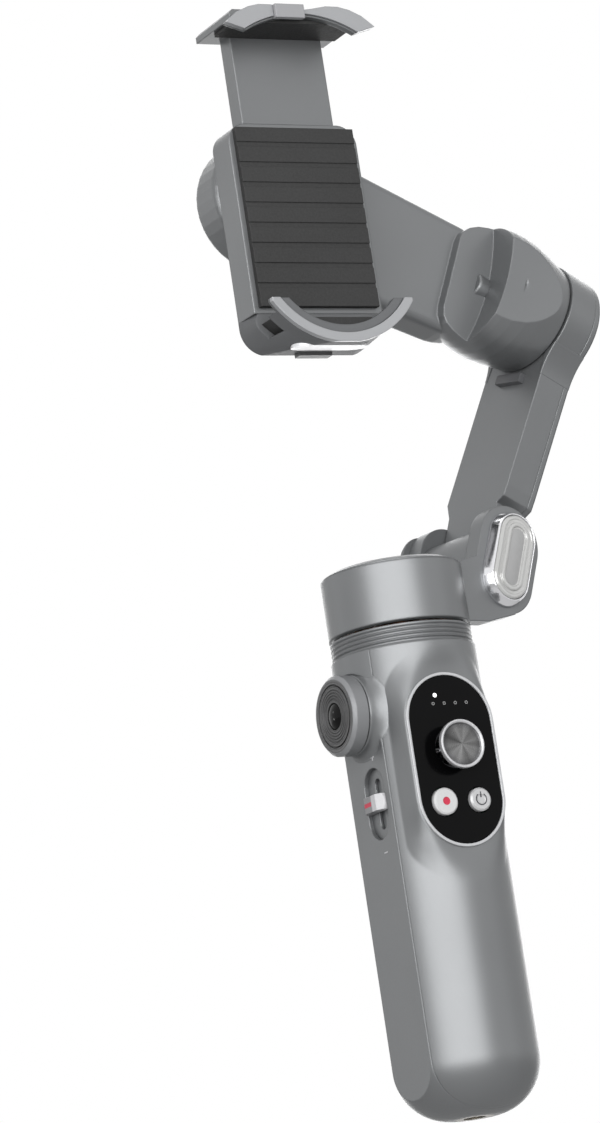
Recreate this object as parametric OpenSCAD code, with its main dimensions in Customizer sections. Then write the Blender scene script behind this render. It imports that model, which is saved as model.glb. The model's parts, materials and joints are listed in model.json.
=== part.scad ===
// Folding three-axis handheld stabiliser with a sprung landscape clamp.
// Origin: centre of the tripod thread's mouth, under the handle. +Z runs up the handle,
// -Y is the side with the control panel, and the pan axis is the Z axis.

/* [Handle] */
// Radius of the handle's round front and back
handle_r = 17.25; // [16.5:0.05:18.5]
// Distance from the handle's axis to its flat sides
handle_flat = 14.8; // [14.4:0.1:15.6]
// Height of the handle up to its ribbed collar
handle_h = 110.2; // [109.7:0.1:115]
// Radius of the rounded bottom corner
handle_corner = 12.8; // [9:0.1:13]
// Wall thickness of both handle shells
shell_wall = 1.8; // [1.4:0.1:2.1]
// Depth of the shells' split behind the panel's face
split_depth = 7; // [6.6:0.1:7.6]
// Distance below the collar at which the flat sides start to run out
flat_down = 24.2; // [20:0.2:26]
// Radius of the run-out of the flat sides
runout_r = 28; // [24:1:34]

/* [Collar] */
// How far the ribbed collar lies inside the handle's round front
collar_in = 0.45; // [0.1:0.05:0.8]
// Height of the ribbed collar
collar_h = 4.7; // [4:0.1:5.5]
// Number of grooves round the collar
collar_grooves = 4; // [2:1:5]
// Depth of each groove
groove_depth = 0.45; // [0.2:0.05:0.7]

/* [Control panel] */
// Width of the black panel
panel_w = 22; // [20:0.1:22.6]
// Height of the black panel
panel_h = 40.2; // [38:0.1:42]
// Distance of the panel's centre below the collar
panel_down = 28.6; // [27.6:0.1:29.6]
// Depth of the panel's face behind the handle's round front
panel_sink = 1.05; // [0.7:0.05:1.2]
// Thickness of the panel plate
panel_t = 1.6; // [1.2:0.1:1.8]
// Width of the bright rim round the panel
rim_w = 0.7; // [0.4:0.05:0.8]
// How far the rim stands proud of the panel
rim_proud = 0.3; // [0.1:0.05:0.5]
// Width of the dished land round the rim
land_w = 0.3; // [0.2:0.05:0.6]
// Width of the dish's sloping wall round the land
dish_w = 6.3; // [5.5:0.1:7]
// Radius of the joystick cap
joystick_r = 5.8; // [5.5:0.1:6.2]
// Height of the joystick cap above the panel
joystick_proud = 4.5; // [4.2:0.1:5.4]
// Height of the joystick above the panel's centre
joystick_up = 2.8; // [2:0.1:4]
// Drop of the two round buttons below the panel's centre
button_down = 9.9; // [9:0.1:11]
// Half the distance between the two round buttons
button_half_gap = 4.7; // [4.2:0.1:5.2]
// Radius of the record button
record_r = 3.2; // [2.8:0.1:3.4]
// Radius of the power button
power_r = 2.8; // [2.4:0.1:3]
// How far the round buttons stand proud of the panel
button_proud = 1; // [0.6:0.1:1.4]
// Travel of the round buttons
button_travel = 0.6; // [0.3:0.1:0.8]
// Radius of the status light
light_r = 0.5; // [0.3:0.05:0.8]

/* [Side controls] */
// Radius of the side wheel
wheel_r = 9.5; // [8.8:0.1:9.8]
// Thickness of the side wheel
wheel_t = 4; // [3.4:0.1:4.6]
// Distance of the wheel's axis below the collar
wheel_down = 14; // [13.4:0.1:14.8]
// Distance of the wheel's axis in front of the handle's axis
wheel_forward = 1; // [0:0.1:2]
// Radius of the raised boss under the wheel
boss_r = 9.6; // [9.2:0.1:10]
// Height of that boss above the flat side
boss_h = 2.6; // [2.2:0.1:3.2]
// Radius of the wheel's centre button
lens_r = 2.9; // [2.4:0.1:3.4]
// Length of the zoom slider's slot
slot_h = 17; // [15:0.5:19]
// Width of the zoom slider's slot
slot_w = 9.2; // [8:0.1:9.4]
// Distance of the slot's centre below the collar
slot_down = 35.6; // [35.2:0.1:36.4]
// Distance of the slot's centre in front of the handle's axis
slot_forward = 2.5; // [1.5:0.1:3]
// Depth of the slot
slot_depth = 1.1; // [0.8:0.1:1.3]
// Travel of the zoom knob each way
zoom_travel = 4; // [3:0.5:5]
// How far the zoom knob stands out of the flat side
zoom_proud = 1.8; // [1.2:0.1:2.2]

/* [Pan motor] */
// How far the pan motor's cup lies inside the handle's round front
cup_in = 0.35; // [0.15:0.05:0.65]
// Height of the pan motor's cup
cup_h = 14.5; // [14:0.1:15]
// Wall of the cup
cup_wall = 1.5; // [1.2:0.1:1.8]
// Thickness of the cup's closed top
cup_top = 1.8; // [1.5:0.1:2.2]
// Radius of each motor shaft
shaft_r = 2; // [1.5:0.1:2.4]

/* [Yoke and fold hinge] */
// Turn of the yoke and arm about the pan axis in the resting pose, in degrees
yaw = 13; // [9:1:17]
// Distance from the pan motor's side to the fold pin
hinge_gap = 9.5; // [9.4:0.1:10.5]
// Height of the fold pin above the pan motor's top
hinge_up = 1.3; // [0.5:0.1:2.3]
// Half the width over both ears
yoke_half = 13; // [12.4:0.1:13.6]
// Thickness of each ear
ear_t = 4.2; // [3.6:0.1:4.6]
// Half the width of the rounded ears
ear_r = 9.3; // [9:0.1:9.7]
// Distance of the ears' round ends from the fold pin
ear_reach = 4.6; // [4:0.1:5.2]
// Radius of the arm's knuckle
knuckle_r = 9; // [8.4:0.1:9.1]
// Radius of the fold pin
pin_r = 2; // [1.6:0.1:2.4]
// Height of the bright ring on the front ear
ring_t = 2.8; // [2.2:0.1:3.2]
// Half the width of the bright ring
ring_r = 6.8; // [6.4:0.1:7.2]
// Width of the bright ring's band
ring_band = 1.3; // [1:0.1:1.6]

/* [Arm] */
// Lean of the tilt axis above the horizontal, in degrees
lean = 23.6; // [22:0.2:25]
// Length of the arm from the fold pin to the tilt axis
arm_len = 67.2; // [65:0.2:70]
// Sideways step of the tilt axis towards the front
arm_step = 9.9; // [9:0.1:11]
// Thickness of the arm
arm_t = 9.7; // [9.2:0.1:10]
// Distance of the arm's inner face inside the fold pin
arm_inset = 2.5; // [2:0.1:3]
// Width of the arm
arm_w = 21.5; // [20.5:0.1:22]
// Radius of the disc at the arm's top
disc_r = 14.8; // [14.4:0.1:15.4]
// Thickness of the arm's outer cover
arm_cover_t = 1.8; // [1.4:0.1:2.2]

/* [Tilt motor] */
// Distance from the arm's disc to the roll axis
tilt_reach = 76; // [74:0.5:78]
// Radius of the bowl that turns on the arm
bowl_r = 14.3; // [13.9:0.1:14.6]
// Length of the bowl's round part
bowl_len = 14; // [13:0.2:15]
// Length of the bowl's tapered nose
nose_len = 12; // [10:0.2:13]
// Radius of the neck where it leaves the bowl
neck_r = 14.4; // [13.6:0.1:15]
// Distance from the bowl's seam to the neck's centre
neck_at = 26; // [25:0.2:27]

/* [Roll motor] */
// Radius of the roll motor's can
can_r = 16.5; // [16:0.1:17]
// Depth of the roll motor's can
can_t = 12; // [11.4:0.1:13]
// Radius of the edge rounding on the can and neck
can_edge = 2.4; // [1.8:0.1:3]

/* [Clamp] */
// Width of the held slab, at rest, between the two pads
hold_w = 71.5; // [70:0.5:73]
// Thickness of the held slab
hold_t = 7.85; // [7:0.05:9]
// Travel of the upper jaw down from the resting opening
jaw_close = 13.5; // [10:0.5:14]
// Travel of the upper jaw up from the resting opening
jaw_open = 16; // [12:0.5:16.5]
// Depth of the clamp's back, front to rear
back_t = 9.8; // [9.6:0.1:10.4]
// Half the width of the clamp's back
back_half = 17.4; // [16.8:0.1:17.8]
// Height of the clamp's back above the roll axis
back_top = 14; // [14:0.5:18]
// Radius of the lower jaw's round outline
jaw_r = 22.9; // [22.6:0.1:23.2]
// Thickness of the jaws' front lips
lip_t = 2.2; // [1.8:0.1:2.6]
// Height of the lower jaw, from the held slab's edge to its lowest point
jaw_drop = 7.95; // [7.5:0.05:8.4]
// Height of the upper jaw above the held slab's edge
jaw_rise = 3.9; // [3.4:0.1:4.3]
// Overlap of the lips on the held slab's face
lip_hook = 2.9; // [2:0.1:3.2]
// Room between the held slab's face and the lips
lip_room = 2.6; // [2.2:0.1:3]

/* [Small parts] */
// Radius of the tripod thread's hole
thread_r = 2.6; // [2.55:0.05:2.7]
// Depth of the tripod thread
thread_len = 8; // [6:0.5:9]
// Outer radius of the threaded insert
insert_r = 4.6; // [4.2:0.1:5]
// Radius of the battery cell
cell_r = 9.1; // [8.6:0.1:9.3]
// Length of the battery cell
cell_len = 65; // [60:0.5:66]
// Thickness of the circuit board
board_t = 1.2; // [0.8:0.1:1.6]
// Radius of the small screws
screw_r = 1; // [0.8:0.05:1.2]
// Radius of the small screws' heads
screw_head_r = 1.8; // [1.5:0.05:2]
// Height of the small screws' heads
screw_head_t = 1; // [0.8:0.05:1.2]
// Gap between moving casings
move_gap = 0.5; // [0.4:0.05:0.7]
// Gap round pieces that are fixed in a seat
seat_gap = 0.05; // [0.02:0.01:0.08]
// Radial clearance of a shaft in its bearing
run_gap = 0.05; // [0.03:0.01:0.08]
// Gap round a small sliding piece
slide_gap = 0.3; // [0.25:0.05:0.35]

/* [Hidden] */
$fn = 64;
over = 1;
edge = 0.4;

casing = [0.50, 0.51, 0.53];
dark_metal = [0.30, 0.31, 0.33];
bright = [0.80, 0.81, 0.83];
black = [0.06, 0.06, 0.07];
copper = [0.72, 0.43, 0.25];
steel = [0.66, 0.67, 0.69];
rubber = [0.10, 0.10, 0.10];
board_green = [0.08, 0.28, 0.18];

// Places that follow from the driving sizes
split_y = handle_r - panel_sink - split_depth;
panel_y = handle_r - panel_sink;
panel_z = handle_h - panel_down;
wheel_z = handle_h - wheel_down;
slot_z = handle_h - slot_down;
flat_top = handle_h - flat_down;
collar_r = handle_r - collar_in;
cup_r = handle_r - cup_in;
collar_z = handle_h;
cup_z = collar_z + collar_h + move_gap + 0.2 * move_gap;
cup_top_z = cup_z + cup_h;
hinge_out = cup_r + hinge_gap;
hinge_z = cup_top_z + hinge_up;
ear_in = yoke_half - ear_t;
knuckle_half = ear_in - slide_gap;

// The arm's frame is tipped by lean at the fold pin; this turns its points into the yoke's frame
function tip(p) = [hinge_out + p[0] * cos(lean) + p[2] * sin(lean), p[1],
    hinge_z - p[0] * sin(lean) + p[2] * cos(lean)];
function turn(p) = [p[0] * cos(yaw) - p[1] * sin(yaw), p[0] * sin(yaw) + p[1] * cos(yaw), p[2]];
tilt_seat = [-arm_inset, -arm_step, arm_len];
grip = turn(tip([-arm_inset - tilt_reach, -arm_step, arm_len]));
neck = turn(tip([-arm_inset - neck_at, -arm_step, arm_len]));
roll_x = grip[0];
roll_z = grip[2];
face_y = grip[1];
back_y = face_y + back_t;

// Frames
module yoke_frame() rotate([0, 0, yaw]) children();
module arm_frame() yoke_frame() translate([hinge_out, 0, hinge_z]) rotate([0, lean, 0]) children();
module tilt_frame() arm_frame() translate(tilt_seat) rotate([0, -90, 0]) children();
module roll_frame() translate([roll_x, 0, roll_z]) children();
// Local Z points to the rear of the clamp, local X to the right and local Y down
module roll_axis_frame(y) roll_frame() translate([0, y, 0]) rotate([-90, 0, 0]) children();
// Local Z points out of the panel's face, local X to the right and local Y up
module panel_frame(y = panel_y) translate([0, -y, panel_z]) rotate([90, 0, 0]) children();
// Local Z points out of the left flat side, local X to the rear and local Y up
module side_frame(forward, z, out = 0)
    translate([-handle_flat - out, -forward, z]) rotate([90, 0, -90]) children();

// Shared shapes
module stadium(w, h) {
    for (s = [-1, 1]) translate([0, s * (h - w) / 2]) circle(d = w);
    square([w, h - w], center = true);
}

// A stadium whose width changes by 2 * grow over the height t
module draft_stadium(w, h, grow, t) {
    straight = h - w;
    for (s = [-1, 1]) translate([0, s * straight / 2, 0]) cylinder(r1 = w / 2, r2 = w / 2 + grow, h = t);
    translate([0, straight / 2, 0]) rotate([90, 0, 0]) linear_extrude(straight)
        polygon([[-w / 2, 0], [w / 2, 0], [w / 2 + grow, t], [-w / 2 - grow, t]]);
}

module tube(r_out, r_in, h) difference() {
    cylinder(r = r_out, h = h);
    translate([0, 0, -over]) cylinder(r = r_in, h = h + 2 * over);
}

module screw(length) {
    difference() {
        cylinder(r = screw_head_r, h = screw_head_t);
        translate([0, 0, -over]) cylinder(r = screw_head_r / 2, h = over + screw_head_t / 2, $fn = 6);
    }
    translate([0, 0, screw_head_t]) cylinder(r = screw_r, h = length);
}

// Motor parts. Local Z = 0 is the seat on the still side and +Z points to the turning side.
post_share = 2.1;
bearing_share = 1.75;
slots = 9;
poles = 12;
post_r = shaft_r * post_share;
bearing_r = shaft_r * bearing_share;

module motor_stator(r, h) difference() {
    union() {
        cylinder(r = post_r, h = h);
        translate([0, 0, h * 0.2]) linear_extrude(h * 0.6) {
            circle(r = r * 0.5);
            for (i = [0 : slots - 1]) rotate(i * 360 / slots) {
                translate([0, -r * 0.12]) square([r * 0.9, r * 0.24]);
                intersection() {
                    difference() { circle(r = r); circle(r = r * 0.88); }
                    translate([0, -r * 0.26]) square([r, r * 0.52]);
                }
            }
        }
        translate([0, 0, h * 0.12]) linear_extrude(h * 0.76)
            for (i = [0 : slots - 1]) rotate(i * 360 / slots)
                translate([r * 0.52, -r * 0.19]) square([r * 0.32, r * 0.38]);
    }
    translate([0, 0, -over]) cylinder(r = bearing_r + seat_gap, h = h + 2 * over);
}

module motor_bearings(h) for (z = [0, h - h / 4])
    translate([0, 0, z]) tube(bearing_r, shaft_r + run_gap, h / 4);

module motor_magnets(r_out, r_in, h) linear_extrude(h) difference() {
    circle(r = r_out);
    circle(r = r_in);
    for (i = [0 : poles - 1]) rotate(i * 360 / poles)
        translate([r_in / 2, -slide_gap / 2]) square([r_out, slide_gap]);
}

// Handle

module handle_solid(r, flat, bottom, corner) difference() {
    rotate_extrude() {
        translate([0, bottom]) square([r - corner, corner]);
        translate([0, bottom + corner]) square([r, handle_h - bottom - corner]);
        translate([r - corner, bottom + corner]) intersection() {
            circle(r = corner);
            translate([0, -corner]) square(corner);
        }
    }
    for (s = [0, 180]) rotate([0, 0, s]) translate([0, handle_r + over, 0])
        rotate([90, 0, 0]) linear_extrude(2 * (handle_r + over)) {
            translate([flat, -over]) square([handle_r, flat_top + over]);
            translate([flat + runout_r, flat_top]) circle(r = runout_r);
        }
}

pad_grow = 2.7;
pad_w = panel_w + 2 * (rim_w + land_w);
pad_h = panel_h + 2 * (rim_w + land_w);
pad_y = panel_y - rim_proud;
pad_depth = pad_y - split_y;
shelf_y = panel_y - panel_t;

module handle_outside() {
    handle_solid(handle_r, handle_flat, 0, handle_corner);
    // Raised pad that carries the panel
    panel_frame(split_y) draft_stadium(pad_w + 2 * pad_grow, pad_h + 2 * pad_grow, -pad_grow, pad_depth);
}

module shell_cavity() {
    bottom = thread_len + 1.2 * shell_wall;
    handle_solid(handle_r - shell_wall, handle_flat - shell_wall, bottom, handle_corner - shell_wall);
}

module panel_pocket() {
    panel_frame(pad_y) {
        // Shallow dish that runs out above and below the pad
        draft_stadium(pad_w, pad_h, dish_w, handle_r - pad_y);
        translate([0, 0, handle_r - pad_y]) linear_extrude(handle_r)
            stadium(pad_w + 2 * dish_w, pad_h + 2 * dish_w);
        // Seat of the rim and panel
        translate([0, 0, shelf_y - pad_y]) linear_extrude(panel_t + over)
            stadium(panel_w + 2 * rim_w, panel_h + 2 * rim_w);
        // Window behind the panel
        translate([0, 0, -handle_r]) linear_extrude(handle_r)
            stadium(panel_w - 2 * shell_wall, panel_h - 2 * shell_wall);
    }
}

// The collar's floor is screwed down into three posts at the top of the shells
boss_out = 2.2 * screw_r;
boss_len = 7 * screw_r;
screw_ring = handle_r - shell_wall - 1.6 * boss_out;

module at_screws(angles, z) for (a = angles) rotate(a) translate([screw_ring, 0, z]) children();

module boss(angles) at_screws(angles, handle_h - boss_len) {
    cylinder(r = boss_out, h = boss_len);
    translate([0, -screw_r, 0]) cube([2 * boss_out, 2 * screw_r, boss_len]);
}

module boss_holes(angles) at_screws(angles, handle_h - boss_len + screw_r)
    cylinder(r = screw_r + seat_gap, h = boss_len);

front_screws = [270];
rear_screws = [20, 160];

module front_box() translate([-handle_r - over, -3 * handle_r, -over])
    cube([2 * (handle_r + over), 3 * handle_r - split_y, handle_h + 2 * over]);

// Flat seat that the wheel's boss stands on
module wheel_seat() side_frame(wheel_forward, wheel_z) cylinder(r = boss_r + seat_gap, h = handle_r);

module handle_front_shell() color(casing) intersection() {
    front_box();
    difference() {
        handle_outside();
        difference() {
            shell_cavity();
            boss(front_screws);
        }
        panel_pocket();
        boss_holes(front_screws);
        wheel_seat();
    }
}

hub_wall = 1.2;
wheel_hole_r = lens_r + hub_wall + edge;
usb_w = 9;
usb_h = 3.4;
usb_down = 19.2;
usb_z = handle_h - usb_down;
usb_depth = 7;

module usb_outline(grow) stadium(usb_h + 2 * grow, usb_w + 2 * grow);

module handle_rear_shell() color(casing) difference() {
    handle_outside();
    front_box();
    difference() {
        shell_cavity();
        boss(rear_screws);
    }
    boss_holes(rear_screws);
    wheel_seat();
    // Seats of the insert, the wheel, the slider and the charging socket
    translate([0, 0, -over]) cylinder(r = insert_r + seat_gap, h = thread_len + 2 * over + 2 * shell_wall);
    side_frame(wheel_forward, wheel_z, -2 * shell_wall) cylinder(r = wheel_hole_r + seat_gap, h = 3 * shell_wall);
    side_frame(slot_forward, slot_z, -2 * shell_wall) linear_extrude(3 * shell_wall) stadium(slot_w, slot_h);
    translate([handle_flat - 2 * shell_wall, 0, usb_z]) rotate([90, 0, 90])
        linear_extrude(3 * shell_wall) usb_outline(seat_gap);
    // Cable way up into the collar stays open at the top
}

collar_floor = 1.5 * shell_wall;

module collar_ring() color(casing) difference() {
    pitch = collar_h / (collar_grooves + 0.5);
    rotate_extrude() difference() {
        translate([post_r + seat_gap, collar_z]) square([collar_r - post_r - seat_gap, collar_h]);
        translate([post_r, collar_z + collar_floor]) square([collar_r - post_r - 1.5 * shell_wall, collar_h]);
        for (i = [0 : collar_grooves - 1])
            translate([collar_r, collar_z + (i + 0.55) * pitch]) circle(r = groove_depth, $fn = 16);
    }
    at_screws(concat(front_screws, rear_screws), collar_z - over)
        cylinder(r = screw_r + seat_gap, h = collar_h);
}

module panel_bezel() color(bright) panel_frame(shelf_y) difference() {
    linear_extrude(panel_t + rim_proud) stadium(panel_w + 2 * rim_w - 2 * seat_gap, panel_h + 2 * rim_w - 2 * seat_gap);
    translate([0, 0, -over]) linear_extrude(panel_t + rim_proud + 2 * over) stadium(panel_w, panel_h);
}

light_x = -2.9;
light_up = 15.4;
dome_in = 1.2;
dome_r = joystick_r - dome_in;

module control_panel() color(black) panel_frame(shelf_y) difference() {
    linear_extrude(panel_t) stadium(panel_w - 2 * seat_gap, panel_h - 2 * seat_gap);
    translate([0, joystick_up, -over]) cylinder(r = dome_r + slide_gap, h = panel_t + 2 * over);
    translate([-button_half_gap, -button_down, -over]) cylinder(r = record_r + slide_gap, h = panel_t + 2 * over);
    translate([button_half_gap, -button_down, -over]) cylinder(r = power_r + slide_gap, h = panel_t + 2 * over);
    translate([light_x, light_up, -over]) cylinder(r = light_r + seat_gap, h = panel_t + 2 * over);
}

board_gap = 1.4;
board_side = 1.6;
board_over = 0.9;
board_y = split_y + board_gap;
board_w = panel_w - 2 * board_side;
board_h = panel_h + 2 * board_over;
switch_t = 1.2;
switch_w = 3;

module status_light() color("white") panel_frame(board_y) translate([light_x, light_up, 0])
    cylinder(r = light_r, h = panel_y - board_y);

module main_board() color(board_green) panel_frame(board_y) translate([-board_w / 2, -board_h / 2, -board_t]) {
    cube([board_w, board_h, board_t]);
    // Switches under the two round buttons
    for (s = [-1, 1]) translate([board_w / 2 + s * button_half_gap - switch_w / 2, board_h / 2 - button_down - switch_w / 2, 0])
        cube([switch_w, switch_w, board_t + switch_t - slide_gap]);
    // Motion sensor, processor and radio packages on the rear face
    for (p = [[0.2, 0.3], [0.55, 0.5], [0.25, 0.75]])
        translate([p[0] * board_w, p[1] * board_h, -board_t]) cube([board_w / 4, board_w / 4, board_t]);
}

// The cell lies against the rear shell, above the rounded bottom corner
cell_back = handle_r - shell_wall - seat_gap - cell_r;
cell_z = thread_len + handle_corner + 0.3 * shell_wall;

module battery_cell() color("steelblue") translate([0, cell_back, cell_z]) {
    cylinder(r = cell_r, h = cell_len);
    translate([0, 0, cell_len]) cylinder(r = cell_r / 3, h = shell_wall);
}

module tripod_insert() color("goldenrod") difference() {
    union() {
        cylinder(r = insert_r, h = thread_len + shell_wall);
        translate([0, 0, thread_len]) cylinder(r = insert_r, h = shell_wall);
    }
    translate([0, 0, -over]) cylinder(r = thread_r, h = thread_len + over);
}

module usb_port() color(steel) translate([handle_flat - usb_depth, 0, usb_z]) rotate([90, 0, 90]) difference() {
    linear_extrude(usb_depth) usb_outline(0);
    translate([0, 0, shell_wall]) linear_extrude(usb_depth) difference() {
        usb_outline(-slide_gap);
        square([usb_h / 5, usb_w * 0.7], center = true);
    }
}

module collar_screws() color(steel) at_screws(concat(front_screws, rear_screws), collar_z + collar_floor)
    translate([0, 0, screw_head_t]) rotate([180, 0, 0]) screw(collar_floor + 0.6 * boss_len);

// Joystick: the cap leans left and right on the rocker, and the rocker leans up and down on the base
stick_depth = 3.2;
stick_in = panel_y - stick_depth;
rocker_r = 2.2;
rocker_t = 2.2;
axle_r = 0.7;
axle_reach = 0.4;
base_out = 0.6;
base_in = 0.7;
base_floor = 0.5;
base_rim = 0.8;
fork_gap = 0.15;
fork_t = 0.9;
fork_w = 1.8;
fork_h = 2.6;
fork_bar = 1;
stem_r = 1.4;

module joystick_base() color(dark_metal) panel_frame(board_y) translate([0, joystick_up, 0]) difference() {
    cylinder(r = dome_r + base_out, h = stick_in - board_y + axle_r + base_rim);
    translate([0, 0, base_floor]) cylinder(r = dome_r - base_in, h = handle_r);
    translate([-handle_r, 0, stick_in - board_y]) rotate([0, 90, 0]) cylinder(r = axle_r + run_gap, h = 2 * handle_r);
}

module joystick_rocker() color(steel) panel_frame(stick_in) translate([0, joystick_up, 0]) difference() {
    union() {
        cube([2 * rocker_r, 2 * rocker_r, rocker_t], center = true);
        rotate([0, 90, 0]) cylinder(r = axle_r, h = 2 * (dome_r + axle_reach), center = true);
    }
    rotate([90, 0, 0]) cylinder(r = axle_r + run_gap, h = 4 * rocker_r, center = true);
}

cap_t = 1.5;
cap_dish = 0.5;
cap_rim = 0.8;
cap_slope = 0.9;
cap_ring_w = 0.2;
cap_ring_pitch = 1;
cap_rings = 4;
skirt_h = 1.6;
skirt_r = 2.6;
socket_depth = 0.5;
cap_low = panel_y - stick_in + joystick_proud - cap_t;

module joystick_stem() color(dark_metal) panel_frame(stick_in) translate([0, joystick_up, 0]) {
    // Crossed axle in the rocker, with a fork round it
    rotate([90, 0, 0]) cylinder(r = axle_r, h = 2 * (rocker_r + fork_t), center = true);
    for (s = [-1, 1]) translate([-fork_w / 2, s * (rocker_r + fork_gap + fork_t / 2) - fork_t / 2, -axle_r])
        cube([fork_w, fork_t, fork_h + axle_r]);
    translate([-fork_w / 2, -rocker_r - fork_gap - fork_t, fork_h - fork_bar])
        cube([fork_w, 2 * (rocker_r + fork_gap + fork_t), fork_bar]);
    translate([0, 0, fork_h - fork_bar / 2]) cylinder(r = stem_r, h = cap_low + socket_depth - fork_h + fork_bar / 2);
    translate([0, 0, cap_low - skirt_h - seat_gap]) cylinder(r1 = skirt_r, r2 = joystick_r - cap_rim, h = skirt_h);
}

module joystick_cap() color(dark_metal) panel_frame(stick_in) translate([0, joystick_up, 0]) difference() {
    union() {
        translate([0, 0, cap_low]) cylinder(r = joystick_r, h = cap_t - edge);
        translate([0, 0, cap_low + cap_t - edge]) cylinder(r1 = joystick_r, r2 = joystick_r - edge, h = edge);
    }
    // Socket of the stem
    translate([0, 0, cap_low - over]) cylinder(r = stem_r + seat_gap, h = over + socket_depth + seat_gap);
    // Shallow dish with fine rings
    translate([0, 0, cap_low + cap_t - cap_dish])
        cylinder(r1 = joystick_r - cap_rim - cap_slope, r2 = joystick_r - cap_rim, h = cap_dish + over / 100);
    translate([0, 0, cap_low + cap_t - cap_dish - cap_ring_w]) for (i = [1 : cap_rings])
        tube(i * cap_ring_pitch + cap_ring_w, i * cap_ring_pitch, over);
}

key_stem_r = 0.9;
mark_depth = 0.15;
record_mark_r = 0.9;
power_mark_r = 1.1;

module round_button(r, mark_r) {
    stem_len = panel_y - board_y - switch_t - button_travel;
    difference() {
        union() {
            translate([0, 0, -panel_t]) cylinder(r = r, h = panel_t + button_proud - edge);
            translate([0, 0, button_proud - edge]) cylinder(r1 = r, r2 = r - edge, h = edge);
        }
        translate([0, 0, button_proud - mark_depth]) cylinder(r = mark_r, h = over);
    }
    translate([0, 0, -stem_len]) cylinder(r = key_stem_r, h = stem_len);
}

module record_button() color("white") panel_frame() translate([-button_half_gap, -button_down, 0])
    round_button(record_r, record_mark_r);

module power_button() color(bright) panel_frame() translate([button_half_gap, -button_down, 0])
    round_button(power_r, power_mark_r);

// Side controls
plate_t = 0.8;
knob_h = 3.8;
tongue_w = 2;
tongue_h = 3.4;
foot_drop = 0.4;
foot_t = 1;
foot_w = 4.4;

module slider_plate() color(dark_metal) side_frame(slot_forward, slot_z, -slot_depth - plate_t) difference() {
    linear_extrude(plate_t) stadium(slot_w - 2 * seat_gap, slot_h - 2 * seat_gap);
    translate([0, 0, -over]) linear_extrude(plate_t + 2 * over)
        stadium(tongue_w + 2 * slide_gap, 2 * zoom_travel + tongue_h + 2 * slide_gap);
}

module zoom_slider() color(casing) side_frame(slot_forward, slot_z, -slot_depth + slide_gap) {
    half = slot_w / 2 - slide_gap;
    out = slot_depth - slide_gap + zoom_proud;
    // The knob's sides are as round as the slot's ends
    intersection() {
        translate([0, knob_h / 2, 0]) rotate([90, 0, 0]) linear_extrude(knob_h)
            polygon([[-half, 0], [half, 0], [half, out * 0.45], [half * 0.6, out],
                [-half * 0.6, out], [-half, out * 0.45]]);
        linear_extrude(2 * out) stadium(2 * half, slot_h - 2 * zoom_travel - 2 * slide_gap);
    }
    translate([0, 0, -plate_t - slide_gap - foot_drop - foot_t / 2])
        linear_extrude(plate_t + slide_gap + foot_drop + foot_t / 2 + over / 10) stadium(tongue_w, tongue_h);
    translate([0, 0, -plate_t - slide_gap - foot_drop - foot_t]) linear_extrude(foot_t) square([foot_w, tongue_h], center = true);
}

boss_draft = 0.8;
key_in = 0.6;
groove_t = 0.4;
fine_ring_t = 0.15;
fine_ring_w = 0.3;
fine_ring_pitch = 0.7;

module wheel_boss() color(casing) side_frame(wheel_forward, wheel_z) {
    difference() {
        union() {
            cylinder(r1 = boss_r, r2 = boss_r - boss_draft, h = boss_h);
            translate([0, 0, -shell_wall]) cylinder(r = wheel_hole_r, h = shell_wall + over / 10);
            translate([0, 0, boss_h - over / 10]) cylinder(r = lens_r + hub_wall, h = wheel_t * 0.6);
        }
        translate([0, 0, -shell_wall - over]) cylinder(r = lens_r - key_in, h = handle_r);
    }
}

module side_wheel() color(dark_metal) side_frame(wheel_forward, wheel_z, boss_h + slide_gap) difference() {
    union() {
        cylinder(r = wheel_r, h = wheel_t - 2 * edge);
        translate([0, 0, wheel_t - 2 * edge]) cylinder(r1 = wheel_r, r2 = wheel_r - 2 * edge, h = 2 * edge);
    }
    translate([0, 0, -over]) cylinder(r = lens_r + hub_wall + run_gap, h = wheel_t * 0.65 + over);
    translate([0, 0, -over]) cylinder(r = lens_r + slide_gap, h = wheel_t + 2 * over);
    // Groove round the face and fine rings inside it
    translate([0, 0, wheel_t - groove_t]) tube(wheel_r * 0.79, wheel_r * 0.75, over);
    translate([0, 0, wheel_t - fine_ring_t])
        for (r = [lens_r + 1.4 * fine_ring_pitch : fine_ring_pitch : wheel_r * 0.75 - fine_ring_pitch])
            tube(r + fine_ring_w, r, over);
}

module wheel_button() color(black) side_frame(wheel_forward, wheel_z, boss_h + slide_gap) {
    reach = boss_h + slide_gap + 2.5 * shell_wall;
    dome = 2 * edge;
    top = wheel_t - edge / 4;
    big = (lens_r * lens_r + dome * dome) / (2 * dome);
    translate([0, 0, wheel_t * 0.62]) cylinder(r = lens_r, h = top - wheel_t * 0.62);
    translate([0, 0, top]) intersection() {
        translate([0, 0, dome - big]) sphere(r = big);
        cylinder(r = lens_r, h = 2 * dome);
    }
    translate([0, 0, -reach]) cylinder(r = lens_r - key_in - slide_gap, h = reach + wheel_t * 0.65);
}

// Pan motor

pan_h = cup_h - cup_top - 1.6 * move_gap;
pan_seat = cup_z - move_gap;
// Room for the magnets and the air gap round a stator, and how far the magnets stay from the seam
rotor_room = 2.2;
magnet_in = 1.2;
shaft_flange = 1;
pan_stator_r = cup_r - cup_wall - rotor_room;

module pan_stator() color(copper) translate([0, 0, collar_z + collar_floor]) {
    lift = pan_seat - collar_z - collar_floor;
    tube(post_r, bearing_r + seat_gap, lift + over / 10);
    translate([0, 0, lift]) motor_stator(pan_stator_r, pan_h);
}

module pan_bearings() color(steel) translate([0, 0, pan_seat]) motor_bearings(pan_h);

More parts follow.
